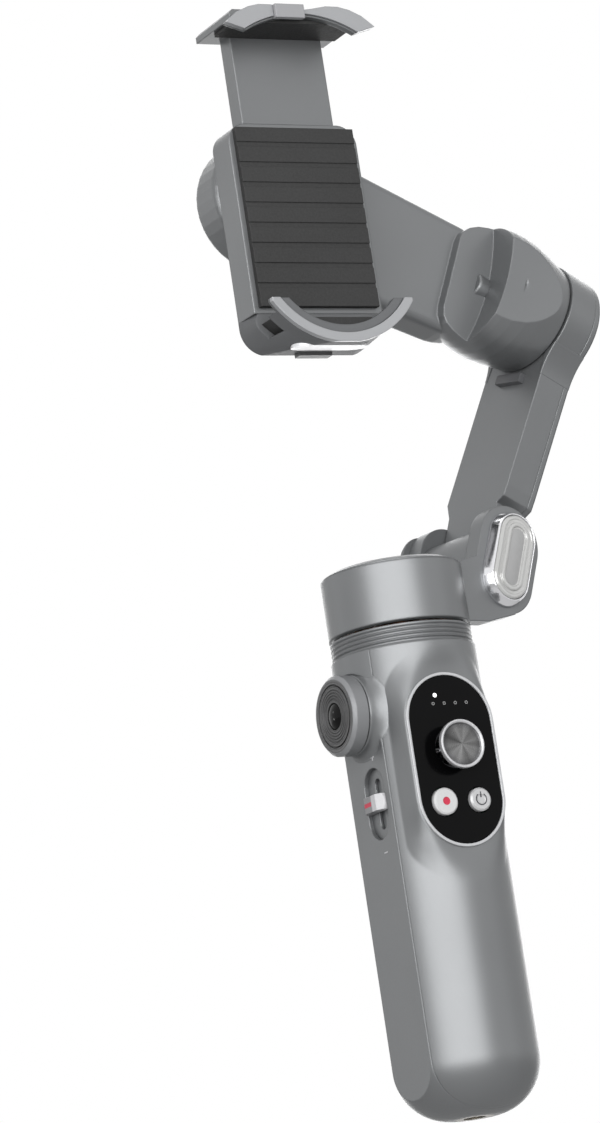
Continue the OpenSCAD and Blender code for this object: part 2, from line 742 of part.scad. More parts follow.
module pan_magnets() color(black) translate([0, 0, cup_z + magnet_in])
    motor_magnets(cup_r - cup_wall - seat_gap, pan_stator_r + slide_gap, cup_h - cup_top - magnet_in - seat_gap);

module pan_shaft() color(steel) {
    translate([0, 0, pan_seat + slide_gap]) cylinder(r = shaft_r, h = cup_top_z - pan_seat - slide_gap);
    translate([0, 0, cup_top_z]) cylinder(r = 2.4 * shaft_r, h = shaft_flange);
}

module pan_top_cap() color(casing) difference() {
    translate([0, 0, cup_top_z + seat_gap]) union() {
        cylinder(r = cup_r - edge, h = edge);
        translate([0, 0, edge]) cylinder(r1 = cup_r - edge, r2 = cup_r - 5 * edge, h = 2 * edge);
    }
    translate([0, 0, cup_top_z - over]) cylinder(r = 2.4 * shaft_r + seat_gap, h = over + shaft_flange + 2 * seat_gap);
    yoke_cut();
    yoke_frame() for (s = [-1, 1]) translate([cup_r / 2 - edge, s * (yoke_half - ear_t / 2) - ear_t / 2 - seat_gap, cup_top_z - over])
        cube([cup_r, ear_t + 2 * seat_gap, 4 * over]);
}

// Yoke and fold hinge

module ear_outline(r, reach) {
    for (s = [-1, 1]) translate(s * reach * [sin(lean), cos(lean)]) circle(r = r);
    rotate(-lean) square([2 * r, 2 * reach], center = true);
}

ear_lift = 2.3;
ear_root = 1;

module ear_side() {
    translate([hinge_out, hinge_z]) ear_outline(ear_r, ear_reach);
    polygon([[cup_r / 2, cup_z + edge], [hinge_out - ear_r * 0.95, cup_z + edge], [hinge_out, cup_z + ear_lift],
        [hinge_out, hinge_z], [hinge_out - ear_r, hinge_z + ear_root], [cup_r / 2, cup_top_z]]);
}

module yoke_cut() yoke_frame() translate([hinge_out, 0, hinge_z]) rotate([90, 0, 0])
    cylinder(r = knuckle_r + move_gap, h = 2 * ear_in, center = true);

module yoke() color(casing) difference() {
    union() {
        translate([0, 0, cup_z]) rotate_extrude() difference() {
            square([cup_r, cup_h]);
            translate([cup_r - edge, 0]) rotate(-45) square([2 * edge, 2 * edge], center = true);
        }
        yoke_frame() for (s = [-1, 1]) translate([0, s * (yoke_half - ear_t / 2) + ear_t / 2, 0])
            rotate([90, 0, 0]) linear_extrude(ear_t) ear_side();
    }
    // Inside of the motor cup
    translate([0, 0, cup_z - over]) cylinder(r = cup_r - cup_wall, h = cup_h - cup_top + over);
    translate([0, 0, cup_z]) cylinder(r = shaft_r + seat_gap, h = cup_h + over);
    yoke_frame() translate([hinge_out, 0, hinge_z]) rotate([90, 0, 0])
        cylinder(r = pin_r + seat_gap, h = 4 * yoke_half, center = true);
    yoke_cut();
}

module fold_pin() color(steel) yoke_frame() translate([hinge_out, 0, hinge_z]) rotate([90, 0, 0])
    cylinder(r = pin_r, h = 2 * yoke_half, center = true);

module ear_face(side, out = 0) yoke_frame() translate([hinge_out, side * (yoke_half + out), hinge_z])
    rotate([90, 0, side < 0 ? 0 : 180]) children();

ring_longer = 0.9;
ring_reach = ear_reach + ring_longer;

module hinge_ring() color(bright) ear_face(-1) difference() {
    union() {
        linear_extrude(ring_t - edge) ear_outline(ring_r, ring_reach);
        linear_extrude(ring_t) ear_outline(ring_r - edge, ring_reach);
    }
    translate([0, 0, ring_t / 2]) linear_extrude(ring_t) ear_outline(ring_r - ring_band, ring_reach);
    translate([0, 0, -over]) cylinder(r = pin_r + 2 * edge, h = 2 * ring_t);
}

module hinge_cap() color("white") ear_face(-1) translate([0, 0, ring_t / 2 + seat_gap]) difference() {
    r = ring_r - ring_band - seat_gap;
    union() {
        linear_extrude(ring_t * 0.62) ear_outline(r, ring_reach);
        linear_extrude(ring_t * 0.8) ear_outline(r * 0.72, ring_reach);
    }
    translate([0, 0, ring_t * 0.55]) linear_extrude(ring_t) difference() {
        ear_outline(r * 0.52, ring_reach);
        ear_outline(r * 0.3, ring_reach);
    }
}

module rear_hinge_cap() color(casing) ear_face(1) difference() {
    union() {
        linear_extrude(edge) ear_outline(ring_r + edge, ring_reach);
        linear_extrude(3 * edge) ear_outline(ring_r, ring_reach);
    }
    translate([0, 0, 2 * edge]) linear_extrude(ring_t) ear_outline(ring_r - ring_band, ring_reach);
}

// Arm. Local X points outwards, local Y to the rear and local Z up the arm.

arm_out = arm_t - arm_inset;
arm_floor = 2.2;
arm_rim = 2;
bush_t = 1;
root_lap = 3;
shoulder_gap = 2.6;
shoulder_step = 1;
flare = 4;
side_step = 0.75;
bay_low = 6;
bevel_up = 3;
bevel_angle = 42;
disc_screw = 10.5;
mid_screw_share = 0.48;
arm_screw_len = 4;
// Where the wide part of the arm starts, above the ears
shoulder = ear_reach + ear_r + shoulder_gap;
flare_z = shoulder + flare;
arm_slope = (arm_step - side_step) / (arm_len - flare_z);
root_top = shoulder - root_lap;

// Middle of the arm's width at the height z
function arm_mid(z) = -side_step - arm_slope * (z - flare_z);

module arm_outline(inset = 0) {
    half = arm_w / 2 - inset;
    root = knuckle_half - inset;
    translate([-arm_step, arm_len]) circle(r = disc_r - inset);
    polygon([[-root, root_top], [root, root_top], [root, shoulder], [arm_mid(flare_z) + half, flare_z],
        [arm_mid(arm_len) + half, arm_len], [arm_mid(arm_len) - half, arm_len],
        [arm_mid(flare_z) - half, flare_z], [-half, shoulder + shoulder_step], [-root, shoulder - edge]]);
}

module arm_plate(from, thick, inset = 0) translate([from, 0, 0]) rotate([90, 0, 90])
    linear_extrude(thick) arm_outline(inset);

arm_screw_places = [[-arm_step, arm_len - disc_screw], [-arm_step, arm_len + disc_screw],
    [arm_mid(mid_screw_share * arm_len), mid_screw_share * arm_len]];

module arm_shell() color(casing) arm_frame() {
    difference() {
        union() {
            arm_plate(-arm_inset, arm_t - arm_cover_t);
            // Root and knuckle between the ears
            translate([-arm_inset, -knuckle_half, 0]) cube([arm_t, 2 * knuckle_half, root_top + over / 10]);
            rotate([90, 0, 0]) cylinder(r = knuckle_r, h = 2 * knuckle_half, center = true);
        }
        // Inside: motor bay in the disc and a wire channel down the arm
        translate([arm_floor - arm_inset, -arm_step, arm_len]) rotate([0, 90, 0]) cylinder(r = disc_r - arm_rim, h = arm_t);
        translate([arm_floor - arm_inset, 0, 0]) rotate([90, 0, 90]) linear_extrude(arm_t) intersection() {
            arm_outline(arm_rim);
            translate([-arm_w, shoulder + bay_low]) square([2 * arm_w, arm_len - shoulder - bay_low]);
        }
        translate([-2 * arm_t, -arm_step, arm_len]) rotate([0, 90, 0]) cylinder(r = post_r + seat_gap, h = 3 * arm_t);
        rotate([90, 0, 0]) cylinder(r = pin_r + bush_t + seat_gap, h = 4 * yoke_half, center = true);
        // Bevel of the inner face above the front ear
        translate([-arm_inset, -arm_w, shoulder + bevel_up]) rotate([0, bevel_angle, 0]) translate([-arm_t, 0, -arm_t])
            cube([arm_t, arm_w - knuckle_half / 2, arm_t]);
    }
    // Posts that the cover's screws hold in
    for (p = arm_screw_places) translate([arm_floor - arm_inset - over / 10, p[0], p[1]]) rotate([0, 90, 0])
        tube(2 * screw_r, screw_r + seat_gap, arm_t - arm_floor - arm_cover_t + over / 10);
}

module arm_cover() color(casing) arm_frame() difference() {
    union() {
        arm_plate(arm_out - arm_cover_t, arm_cover_t - edge);
        arm_plate(arm_out - arm_cover_t, arm_cover_t, edge);
    }
    rotate([90, 0, 0]) cylinder(r = knuckle_r + seat_gap, h = 2 * yoke_half, center = true);
    translate([0, -yoke_half, -over]) cube([arm_t, 2 * yoke_half, root_top + over / 10 + over]);
    for (p = arm_screw_places) translate([arm_out + over, p[0], p[1]]) rotate([0, -90, 0]) {
        cylinder(r = screw_head_r + seat_gap, h = over + screw_head_t);
        cylinder(r = screw_r + seat_gap, h = arm_t);
    }
}

module hinge_bushes() color("goldenrod") arm_frame() for (s = [-1, 1])
    translate([0, s * knuckle_half / 2, 0]) rotate([90, 0, 0]) translate([0, 0, -knuckle_half / 2])
        tube(pin_r + bush_t, pin_r + run_gap, knuckle_half - seat_gap);

stop_w = 9;
stop_h = 2.4;
stop_t = 1.6;
stop_side = 3.4;
stop_gap = 1.9;
stop_turn = 12;

module tilt_stop() color(dark_metal) arm_frame()
    translate([-arm_inset - stop_t, stop_side - arm_step - stop_w / 2, arm_len - bowl_r - stop_gap - stop_h])
        rotate([stop_turn, 0, 0]) cube([stop_t, stop_w, stop_h]);

module arm_screws() color(steel) arm_frame() for (p = arm_screw_places)
    translate([arm_out, p[0], p[1]]) rotate([0, -90, 0]) screw(arm_screw_len);

// Tilt motor. In its frame local Z points from the arm's disc to the roll axis.

tilt_wall = 1.6;
motor_short = 2.4;
seat_t = 1.6;
tilt_h = bowl_len - motor_short;
tilt_stator_r = bowl_r - tilt_wall - rotor_room;

module tilt_stator() color(copper) tilt_frame() {
    translate([0, 0, -arm_t + arm_cover_t + seat_gap]) tube(post_r, bearing_r + seat_gap, arm_t - arm_cover_t + over / 10);
    translate([0, 0, -arm_t + arm_cover_t + seat_gap]) tube(disc_screw - 2 * screw_r - slide_gap, post_r - over / 10, seat_t);
    motor_stator(tilt_stator_r, tilt_h);
}

module tilt_bearings() color(steel) tilt_frame() motor_bearings(tilt_h);

module tilt_magnets() color(black) tilt_frame() translate([0, 0, magnet_in])
    motor_magnets(bowl_r - tilt_wall - seat_gap, tilt_stator_r + slide_gap, bowl_len - motor_short);

module tilt_shaft() color(steel) tilt_frame() {
    translate([0, 0, slide_gap]) cylinder(r = shaft_r, h = bowl_len + nose_len * 0.4);
}

rotor_t = 2.4;
can_back = 2.2;
neck_thin = 1;
swing_gap = 3;
can_y = back_y + rotor_t + move_gap;
swing_r = hold_w / 2 + jaw_rise + jaw_open + swing_gap;

module rounded_disc(r, t, e) rotate_extrude() {
    square([r - e, t]);
    translate([0, e]) square([r, t - 2 * e]);
    for (z = [e, t - e]) translate([r - e, z]) circle(r = e, $fn = 24);
}

// The bowl swells from its seam to a belly and narrows to its nose: length share, radius share
belly_shares = [[0, 1], [0.13, 1.05], [0.27, 1.1], [0.4, 1.135], [0.54, 1.14], [0.65, 1.12], [0.75, 1.08],
    [0.85, 1.02], [0.93, 0.93], [0.98, 0.82], [1, 0.66], [1, 0]];

module tilt_arm() color(casing) difference() {
    union() {
        tilt_frame() rotate_extrude() polygon(concat([[0, move_gap]],
            [for (b = belly_shares) [b[1] * bowl_r, move_gap + b[0] * (bowl_len + nose_len)]]));
        hull() {
            roll_axis_frame(can_y) rounded_disc(can_r, can_t, can_edge, $fn = 40);
            translate([neck[0], can_y, neck[2]]) rotate([-90, 0, 0]) rounded_disc(neck_r, can_t - neck_thin, can_edge, $fn = 40);
        }
    }
    // Swing of the clamp and of what it holds
    roll_axis_frame(back_y - over - 3 * back_t) cylinder(r = swing_r, h = 3 * back_t + over + move_gap);
    roll_axis_frame(face_y - 5 * back_t) cylinder(r = 2 * tilt_reach, h = 5 * back_t + 0.9 * move_gap);
    // Inside of the bowl
    tilt_frame() {
        translate([0, 0, -over]) cylinder(r = bowl_r - tilt_wall, h = over + bowl_len - move_gap);
        cylinder(r = shaft_r + seat_gap, h = slide_gap + bowl_len + nose_len * 0.4);
    }
    // Inside of the can, open to the front
    roll_axis_frame(can_y - over) cylinder(r = can_r - tilt_wall, h = over + can_t - can_back);
    roll_axis_frame(can_y) cylinder(r = post_r + seat_gap, h = can_t + over);
}

// Roll motor. In its frame local Z points to the rear.

drum_wall = 1.1;
drum_h = 4;
roll_room = 1.9;
roll_play = 1;
roll_magnet_r = can_r - tilt_wall - slide_gap - drum_wall;
roll_stator_r = roll_magnet_r - roll_room;
roll_h = can_t - can_back - move_gap;

module roll_stator() color(copper) roll_axis_frame(can_y + can_t) mirror([0, 0, 1]) {
    tube(post_r, bearing_r + seat_gap, can_back + over / 10);
    translate([0, 0, can_back]) motor_stator(roll_stator_r, roll_h - roll_play);
}

module roll_bearings() color(steel) roll_axis_frame(can_y + can_t - can_back) mirror([0, 0, 1])
    motor_bearings(roll_h - roll_play);

cap_in = 1;
cap_step = 0.6;

module roll_cap() color(dark_metal) roll_axis_frame(can_y + can_t) difference() {
    union() {
        cylinder(r = can_r - can_edge - cap_in, h = cap_step);
        translate([0, 0, cap_step]) cylinder(r1 = can_r - can_edge - cap_in,
            r2 = can_r - can_edge - cap_in - cap_step, h = cap_step);
    }
    translate([0, 0, 1.5 * cap_step]) tube(can_r * 0.6, can_r * 0.56, over);
}

module roll_rotor() color(casing) roll_axis_frame(back_y) difference() {
    union() {
        cylinder(r = can_r - edge, h = rotor_t);
        cylinder(r = roll_magnet_r + drum_wall, h = rotor_t + move_gap + drum_h);
    }
    translate([0, 0, rotor_t]) cylinder(r = roll_magnet_r + seat_gap, h = can_t);
    translate([0, 0, -over]) cylinder(r = shaft_r + seat_gap, h = can_t);
}

module roll_magnets() color(black) roll_axis_frame(back_y + rotor_t)
    motor_magnets(roll_magnet_r, roll_stator_r + slide_gap, roll_h - 1.2 * roll_play);

module roll_shaft() color(steel) roll_axis_frame(back_y)
    cylinder(r = shaft_r, h = can_y - back_y + can_t - can_back - edge);

// Clamp. Local X, Y and Z are the row's own; Z = 0 is the roll axis.

pad_t = 3.4;
pad_gap = 0.1;
pad_in = 1;
seam_drop = 0.35;
slider_side = 5;
slider_in = 2.5;
slider_t = 4.8;
slider_reach = 12;
rod_r = 1.2;
rod_side = 3.8;
rod_seat = 6;
spring_r = 2.1;
wire_t = 0.6;
spring_room = 4.6;
shaft_seat = 2;
face_t = 1.5;
face_in = 1.4;
rib_pitch = 5;
rib_w = 1.2;
rib_depth = 0.3;
back_corner = 5;
slab_front = face_y - seat_gap - hold_t;
lip_y = slab_front - lip_room;
half_hold = hold_w / 2;
jaw_low = -half_hold - jaw_drop;
seat_low = -half_hold - pad_gap - pad_t;
seam_low = lip_hook - half_hold - seam_drop;
slider_half = back_half - slider_side;
slider_y = face_y + slider_in;
slider_low = -slider_reach;
rod_x = slider_half - rod_side;
spring_floor = slider_low - jaw_close - spring_room;
channel_low = slider_low - jaw_close - 2 * move_gap;

module clamp_back() color(casing) roll_frame() difference() {
    intersection() {
        translate([-back_half, face_y + face_t, seam_low]) cube([2 * back_half, back_t - face_t, back_top - seam_low]);
        union() {
            translate([-back_half, face_y, seam_low]) cube([2 * back_half, back_t, back_top - seam_low - back_corner]);
            for (s = [-1, 1]) translate([s * (back_half - back_corner), face_y, back_top - back_corner])
                rotate([-90, 0, 0]) cylinder(r = back_corner, h = back_t);
            translate([back_corner - back_half, face_y, 0]) cube([2 * (back_half - back_corner), back_t, back_top]);
        }
    }
    // Channel of the sliding plate, open at the top, and the rods' holes
    translate([-slider_half - slide_gap, slider_y - slide_gap, channel_low])
        cube([2 * (slider_half + slide_gap), slider_t + 2 * slide_gap, back_top - channel_low + over]);
    for (s = [-1, 1]) translate([s * rod_x, slider_y + slider_t / 2, channel_low - rod_seat])
        cylinder(r = rod_r + seat_gap, h = rod_seat + over);
    translate([0, slider_y + slider_t / 2, spring_floor])
        cylinder(r = spring_r + slide_gap, h = channel_low - spring_floor + over);
    translate([0, back_y + over, 0]) rotate([90, 0, 0]) cylinder(r = shaft_r + seat_gap, h = over + shaft_seat);
}

module clamp_face() color(rubber) roll_frame() difference() {
    translate([face_in - back_half, face_y, seam_low + face_in])
        cube([2 * (back_half - face_in), face_t, back_top - seam_low - 2 * face_in]);
    for (z = [seam_low + 1.2 * rib_pitch : rib_pitch : back_top - rib_pitch])
        translate([-back_half, face_y - over, z]) cube([2 * back_half, over + rib_depth, rib_w]);
}

module jaw_disc(y, t, r) translate([0, y, jaw_low + jaw_r]) rotate([-90, 0, 0]) cylinder(r = r, h = t, $fn = 96);

// Width of the lower lip's arc, of its bright band, that band's thickness and its step
lip_arc = 4.3;
lip_split = 2.3;
band_t = 1.4;
band_step = 0.5;
under_rise = 2.6;
under_angle = atan(under_rise / (back_y - lip_y));
jaw_over = 1.5;
// Depth of the wall in front of the pad, and radius of the jaw's rear corners
lip_base = 6;
jaw_corner = 6.3;
loft_t = 1;

module under_cut() translate([-jaw_r, lip_y - over, jaw_low]) rotate([under_angle, 0, 0])
    translate([0, -over, -2 * under_rise]) cube([2 * jaw_r, 2 * back_t + hold_t + lip_room + 4 * over, 2 * under_rise]);

module jaw_front(y, t) intersection() {
    jaw_disc(y, t, jaw_r);
    translate([-back_half - jaw_over, y - over, jaw_low - over])
        cube([2 * (back_half + jaw_over), t + 2 * over, lip_hook - half_hold - jaw_low + over]);
}

module jaw_rear(y, t) translate([0, y + t, jaw_low + under_rise]) rotate([90, 0, 0]) linear_extrude(t) {
    top = seam_low - jaw_low - under_rise;
    for (s = [-1, 1]) translate([s * (back_half - jaw_corner), jaw_corner]) circle(r = jaw_corner);
    translate([jaw_corner - back_half, 0]) square([2 * (back_half - jaw_corner), top]);
    translate([-back_half, jaw_corner]) square([2 * back_half, top - jaw_corner]);
}

module lower_jaw() color(casing) roll_frame() difference() {
    union() {
        jaw_front(lip_y + band_step, lip_base - band_step);
        hull() {
            intersection() {
                jaw_front(lip_y + lip_base - loft_t, loft_t);
                translate([-jaw_r, lip_y, jaw_low - over]) cube([2 * jaw_r, 2 * lip_base, over - half_hold - pad_gap - jaw_low]);
            }
            jaw_rear(back_y - loft_t, loft_t);
        }
    }
    // Room of the held slab, and of the pad behind the front wall
    translate([-jaw_r, lip_y + lip_t, -half_hold - pad_gap]) cube([2 * jaw_r, face_y + face_t - lip_y - lip_t, jaw_r]);
    translate([-jaw_r, lip_y + lip_base, seat_low]) cube([2 * jaw_r, face_y + face_t - lip_y - lip_base, jaw_r]);
    // Round window in the lip and the front wall
    jaw_disc(lip_y - over, lip_base + over, jaw_r - lip_arc);
    translate([-jaw_r, face_y, seam_low]) cube([2 * jaw_r, 2 * back_t, jaw_r]);
    under_cut();
    // Place of the bright lip band
    difference() {
        jaw_disc(lip_y - over, band_t + over, jaw_r + over);
        jaw_disc(lip_y - 2 * over, band_t + 4 * over, jaw_r - lip_split);
    }
    accessory_pocket(seat_gap);
    catch_block(seat_gap);
}

module lower_lip() color(bright) roll_frame() difference() {
    jaw_front(lip_y, band_t - seat_gap);
    jaw_disc(lip_y - over, band_t + 2 * over, jaw_r - lip_split + seat_gap);
    under_cut();
}

module lower_pad() color(rubber) roll_frame() intersection() {
    translate([-back_half, lip_y + lip_base + seat_gap, seat_low + seat_gap])
        cube([2 * back_half, face_y - lip_y - lip_base + face_t - 2 * seat_gap, pad_t - seat_gap]);
    jaw_disc(lip_y, back_y - lip_y, jaw_r - pad_in);
}

plate_w = 20;
plate_d = 7.5;
plate_off = 0.9;
plate_sink = 0.8;
pocket_drop = 2;
plate_mid = face_y - plate_off;

module accessory_pocket(gap) translate([0, plate_mid, jaw_low + under_rise * 0.55]) rotate([under_angle, 0, 0])
    rotate([0, 0, 90]) translate([0, 0, -pocket_drop])
        linear_extrude(pocket_drop + plate_sink) stadium(plate_d + 2 * gap, plate_w + 2 * gap);

catch_w = 8.8;
catch_d = 2.6;
catch_h = 3.3;
catch_lift = 0.5;
catch_back = 5.65;

// Catch for a clip-on light, behind the plate
module catch_block(gap) translate([-catch_w / 2 - gap, face_y + catch_back - gap, jaw_low + catch_lift])
    cube([catch_w + 2 * gap, catch_d + 2 * gap, catch_h + gap]);

module accessory_plate() color(bright) roll_frame() {
    difference() {
        accessory_pocket(0);
        under_cut();
    }
    catch_block(0);
}

module guide_rods() color(steel) roll_frame() for (s = [-1, 1])
    translate([s * rod_x, slider_y + slider_t / 2, channel_low - rod_seat])
        cylinder(r = rod_r, h = slider_reach - channel_low + rod_seat);

module clamp_spring() color(steel) roll_frame() translate([0, slider_y + slider_t / 2, spring_floor])
    tube(spring_r, spring_r - wire_t, slider_low - spring_floor);

// Half of the upper jaw's front outline: shares of the back's half width and of the height from tip to crest
upper_shares = [[0.845, 0], [1.16, 0.264], [1.115, 0.372], [0.977, 0.667], [0.793, 0.891], [0.62, 1],
    [0.425, 1], [0.2, 0.884], [0, 0.806]];
upper_pad_t = 1;
tip_hook = 2.55;
body_in = 3;
body_edge = 1;
body_dip = 0.35;
window_r = 30;
window_up = 1.35;
window_side = 2.2;
band_up = 0.5;
jaw_top = half_hold + jaw_rise;
seat_top = half_hold + pad_gap + upper_pad_t;
tip_low = half_hold - tip_hook;
rod_way = 2 * slider_reach + jaw_close + spring_r;

function upper_point(p, s) = [s * p[0] * back_half, tip_low + p[1] * (jaw_top - tip_low)];

module upper_outline() polygon(concat([for (p = upper_shares) upper_point(p, 1)],
    [for (i = [len(upper_shares) - 2 : -1 : 0]) upper_point(upper_shares[i], -1)]));

module upper_block(y, t) translate([0, y + t, 0]) rotate([90, 0, 0]) linear_extrude(t) upper_outline();

module upper_body() translate([0, back_y, 0]) rotate([90, 0, 0]) linear_extrude(back_y - lip_y - body_in)
    polygon([[-back_half, half_hold], [-back_half, jaw_top - body_dip - body_edge],
        [body_edge - back_half, jaw_top - body_dip], [back_half - body_edge, jaw_top - body_dip],
        [back_half, jaw_top - body_dip - body_edge], [back_half, half_hold]]);

module upper_window(y, t) intersection() {
    translate([0, y, half_hold + window_up - window_r]) rotate([-90, 0, 0]) cylinder(r = window_r, h = t, $fn = 96);
    translate([window_side - back_half, y - over, 0]) cube([2 * (back_half - window_side), t + 2 * over, jaw_top]);
}

module upper_jaw() color(casing) roll_frame() difference() {
    union() {
        upper_block(lip_y + band_step, body_in - band_step + over / 10);
        upper_body();
        translate([-slider_half, slider_y, slider_low]) cube([2 * slider_half, slider_t, seat_top - slider_low + edge]);
    }
    translate([-2 * back_half, lip_y + lip_t, 0]) cube([4 * back_half, slider_y - lip_y - lip_t, seat_top]);
    translate([-2 * back_half, slider_y + slider_t, 0]) cube([4 * back_half, 2 * back_t, seat_top]);
    for (s = [-1, 1]) translate([s * (slider_half + back_half) - back_half, lip_y + lip_t, 0])
        cube([2 * back_half, 4 * back_t, seat_top]);
    upper_window(lip_y - over, lip_t + 2 * over);
    upper_band(lip_y - over, band_t + over);
    for (s = [-1, 1]) translate([s * rod_x, slider_y + slider_t / 2, slider_low - over])
        cylinder(r = rod_r + run_gap, h = rod_way + over);
}

module upper_band(y, t, gap = 0) difference() {
    translate([-2 * back_half, y, tip_low - over]) cube([4 * back_half, t, jaw_top]);
    translate([0, y - over, half_hold + window_up + band_up - window_r]) rotate([-90, 0, 0])
        cylinder(r = window_r + gap, h = t + 2 * over, $fn = 96);
}

module upper_lip() color(bright) roll_frame() difference() {
    intersection() {
        upper_block(lip_y, band_t - seat_gap);
        upper_band(lip_y - over, band_t + 2 * over, seat_gap);
    }
    shoe_block(seat_gap);
}

module upper_pad() color(rubber) roll_frame()
    translate([pad_in - back_half, lip_y + lip_t + seat_gap, half_hold + pad_gap])
        cube([2 * (back_half - pad_in), slider_y - lip_y - lip_t - 2 * seat_gap, upper_pad_t - seat_gap]);

shoe_w = 7.8;
shoe_x = -3;
shoe_h = 3.35;
shoe_out = 1;
shoe_in = 0.5;

module shoe_block(gap) translate([shoe_x - shoe_w / 2 - gap, lip_y - shoe_out, jaw_top - shoe_h - edge / 4 - gap])
    cube([shoe_w + 2 * gap, shoe_out + shoe_in + gap, shoe_h + 2 * gap]);

module light_shoe() color(bright) roll_frame() shoe_block(0);

handle_rear_shell();
handle_front_shell();
collar_ring();
panel_bezel();
control_panel();
status_light();
main_board();
battery_cell();
tripod_insert();
usb_port();
collar_screws();
joystick_base();
joystick_rocker();
joystick_stem();
joystick_cap();
record_button();
power_button();
slider_plate();
zoom_slider();
wheel_boss();
side_wheel();
wheel_button();
pan_stator();
pan_bearings();
yoke();
pan_magnets();
pan_shaft();
pan_top_cap();
fold_pin();
hinge_ring();
hinge_cap();
rear_hinge_cap();
arm_shell();
arm_cover();
hinge_bushes();
tilt_stop();
arm_screws();
tilt_stator();
tilt_bearings();
tilt_arm();
tilt_magnets();
tilt_shaft();
roll_stator();
roll_bearings();
roll_cap();
clamp_back();
clamp_face();
roll_rotor();
roll_magnets();
roll_shaft();
lower_jaw();
lower_lip();
lower_pad();
guide_rods();
clamp_spring();
accessory_plate();
upper_jaw();
upper_lip();
upper_pad();
light_shoe();
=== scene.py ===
import json
import math
import bpy
import bmesh
from mathutils import Matrix, Vector


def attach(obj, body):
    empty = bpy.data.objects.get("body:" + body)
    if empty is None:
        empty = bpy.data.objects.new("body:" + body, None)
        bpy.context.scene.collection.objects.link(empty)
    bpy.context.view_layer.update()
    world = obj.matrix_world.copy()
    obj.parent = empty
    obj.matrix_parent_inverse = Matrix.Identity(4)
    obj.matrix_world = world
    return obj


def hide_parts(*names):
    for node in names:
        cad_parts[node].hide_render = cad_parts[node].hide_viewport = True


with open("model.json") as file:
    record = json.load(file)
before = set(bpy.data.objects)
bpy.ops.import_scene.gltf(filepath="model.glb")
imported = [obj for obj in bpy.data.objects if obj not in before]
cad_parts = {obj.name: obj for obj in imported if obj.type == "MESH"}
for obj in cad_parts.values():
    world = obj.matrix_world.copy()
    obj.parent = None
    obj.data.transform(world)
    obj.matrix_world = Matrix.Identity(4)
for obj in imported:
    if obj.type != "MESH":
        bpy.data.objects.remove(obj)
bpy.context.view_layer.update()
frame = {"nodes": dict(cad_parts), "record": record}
nodes = frame["nodes"]

# Places and sizes in row coordinates, in millimetres, as in the source
HANDLE_R = 17.25
HANDLE_H = 110.2
CORNER = 12.8
FLAT = 14.8
SPLIT = 9.17
PANEL = (0.0, -16.2, 81.6)
PANEL_HALF = 9.1
STICK = (0.0, 0.0, 84.4)
BUTTON_X = 4.7
BUTTON_Z = 71.7
BUTTON_OUT = 1.0
WHEEL = (0.0, -1.0, 96.2)
SLOT = (0.0, -2.5, 74.6)
HINGE = (26.25, 0.0, 131.3)
YAW = math.radians(13.0)
LEAN = math.radians(23.6)
EAR_FACE = 13.0
HINGE_REACH = 5.5
HINGE_CAP_R = 5.4
ARM_LEN = 67.2
ARM_STEP = 9.9
CLAMP_FACE = -13.837

MM = 1000.0
GREY = (0.172, 0.177, 0.181)
RED = (0.48, 0.025, 0.06)
WHITE = (1.0, 1.0, 1.0)


def m(p):
    return tuple(v / MM for v in p)


def quarter(steps):
    """Angles from 0 to a right angle."""
    return [math.pi / 2 * k / steps for k in range(steps + 1)]


# Materials: all are made of nodes that read the row's own coordinates

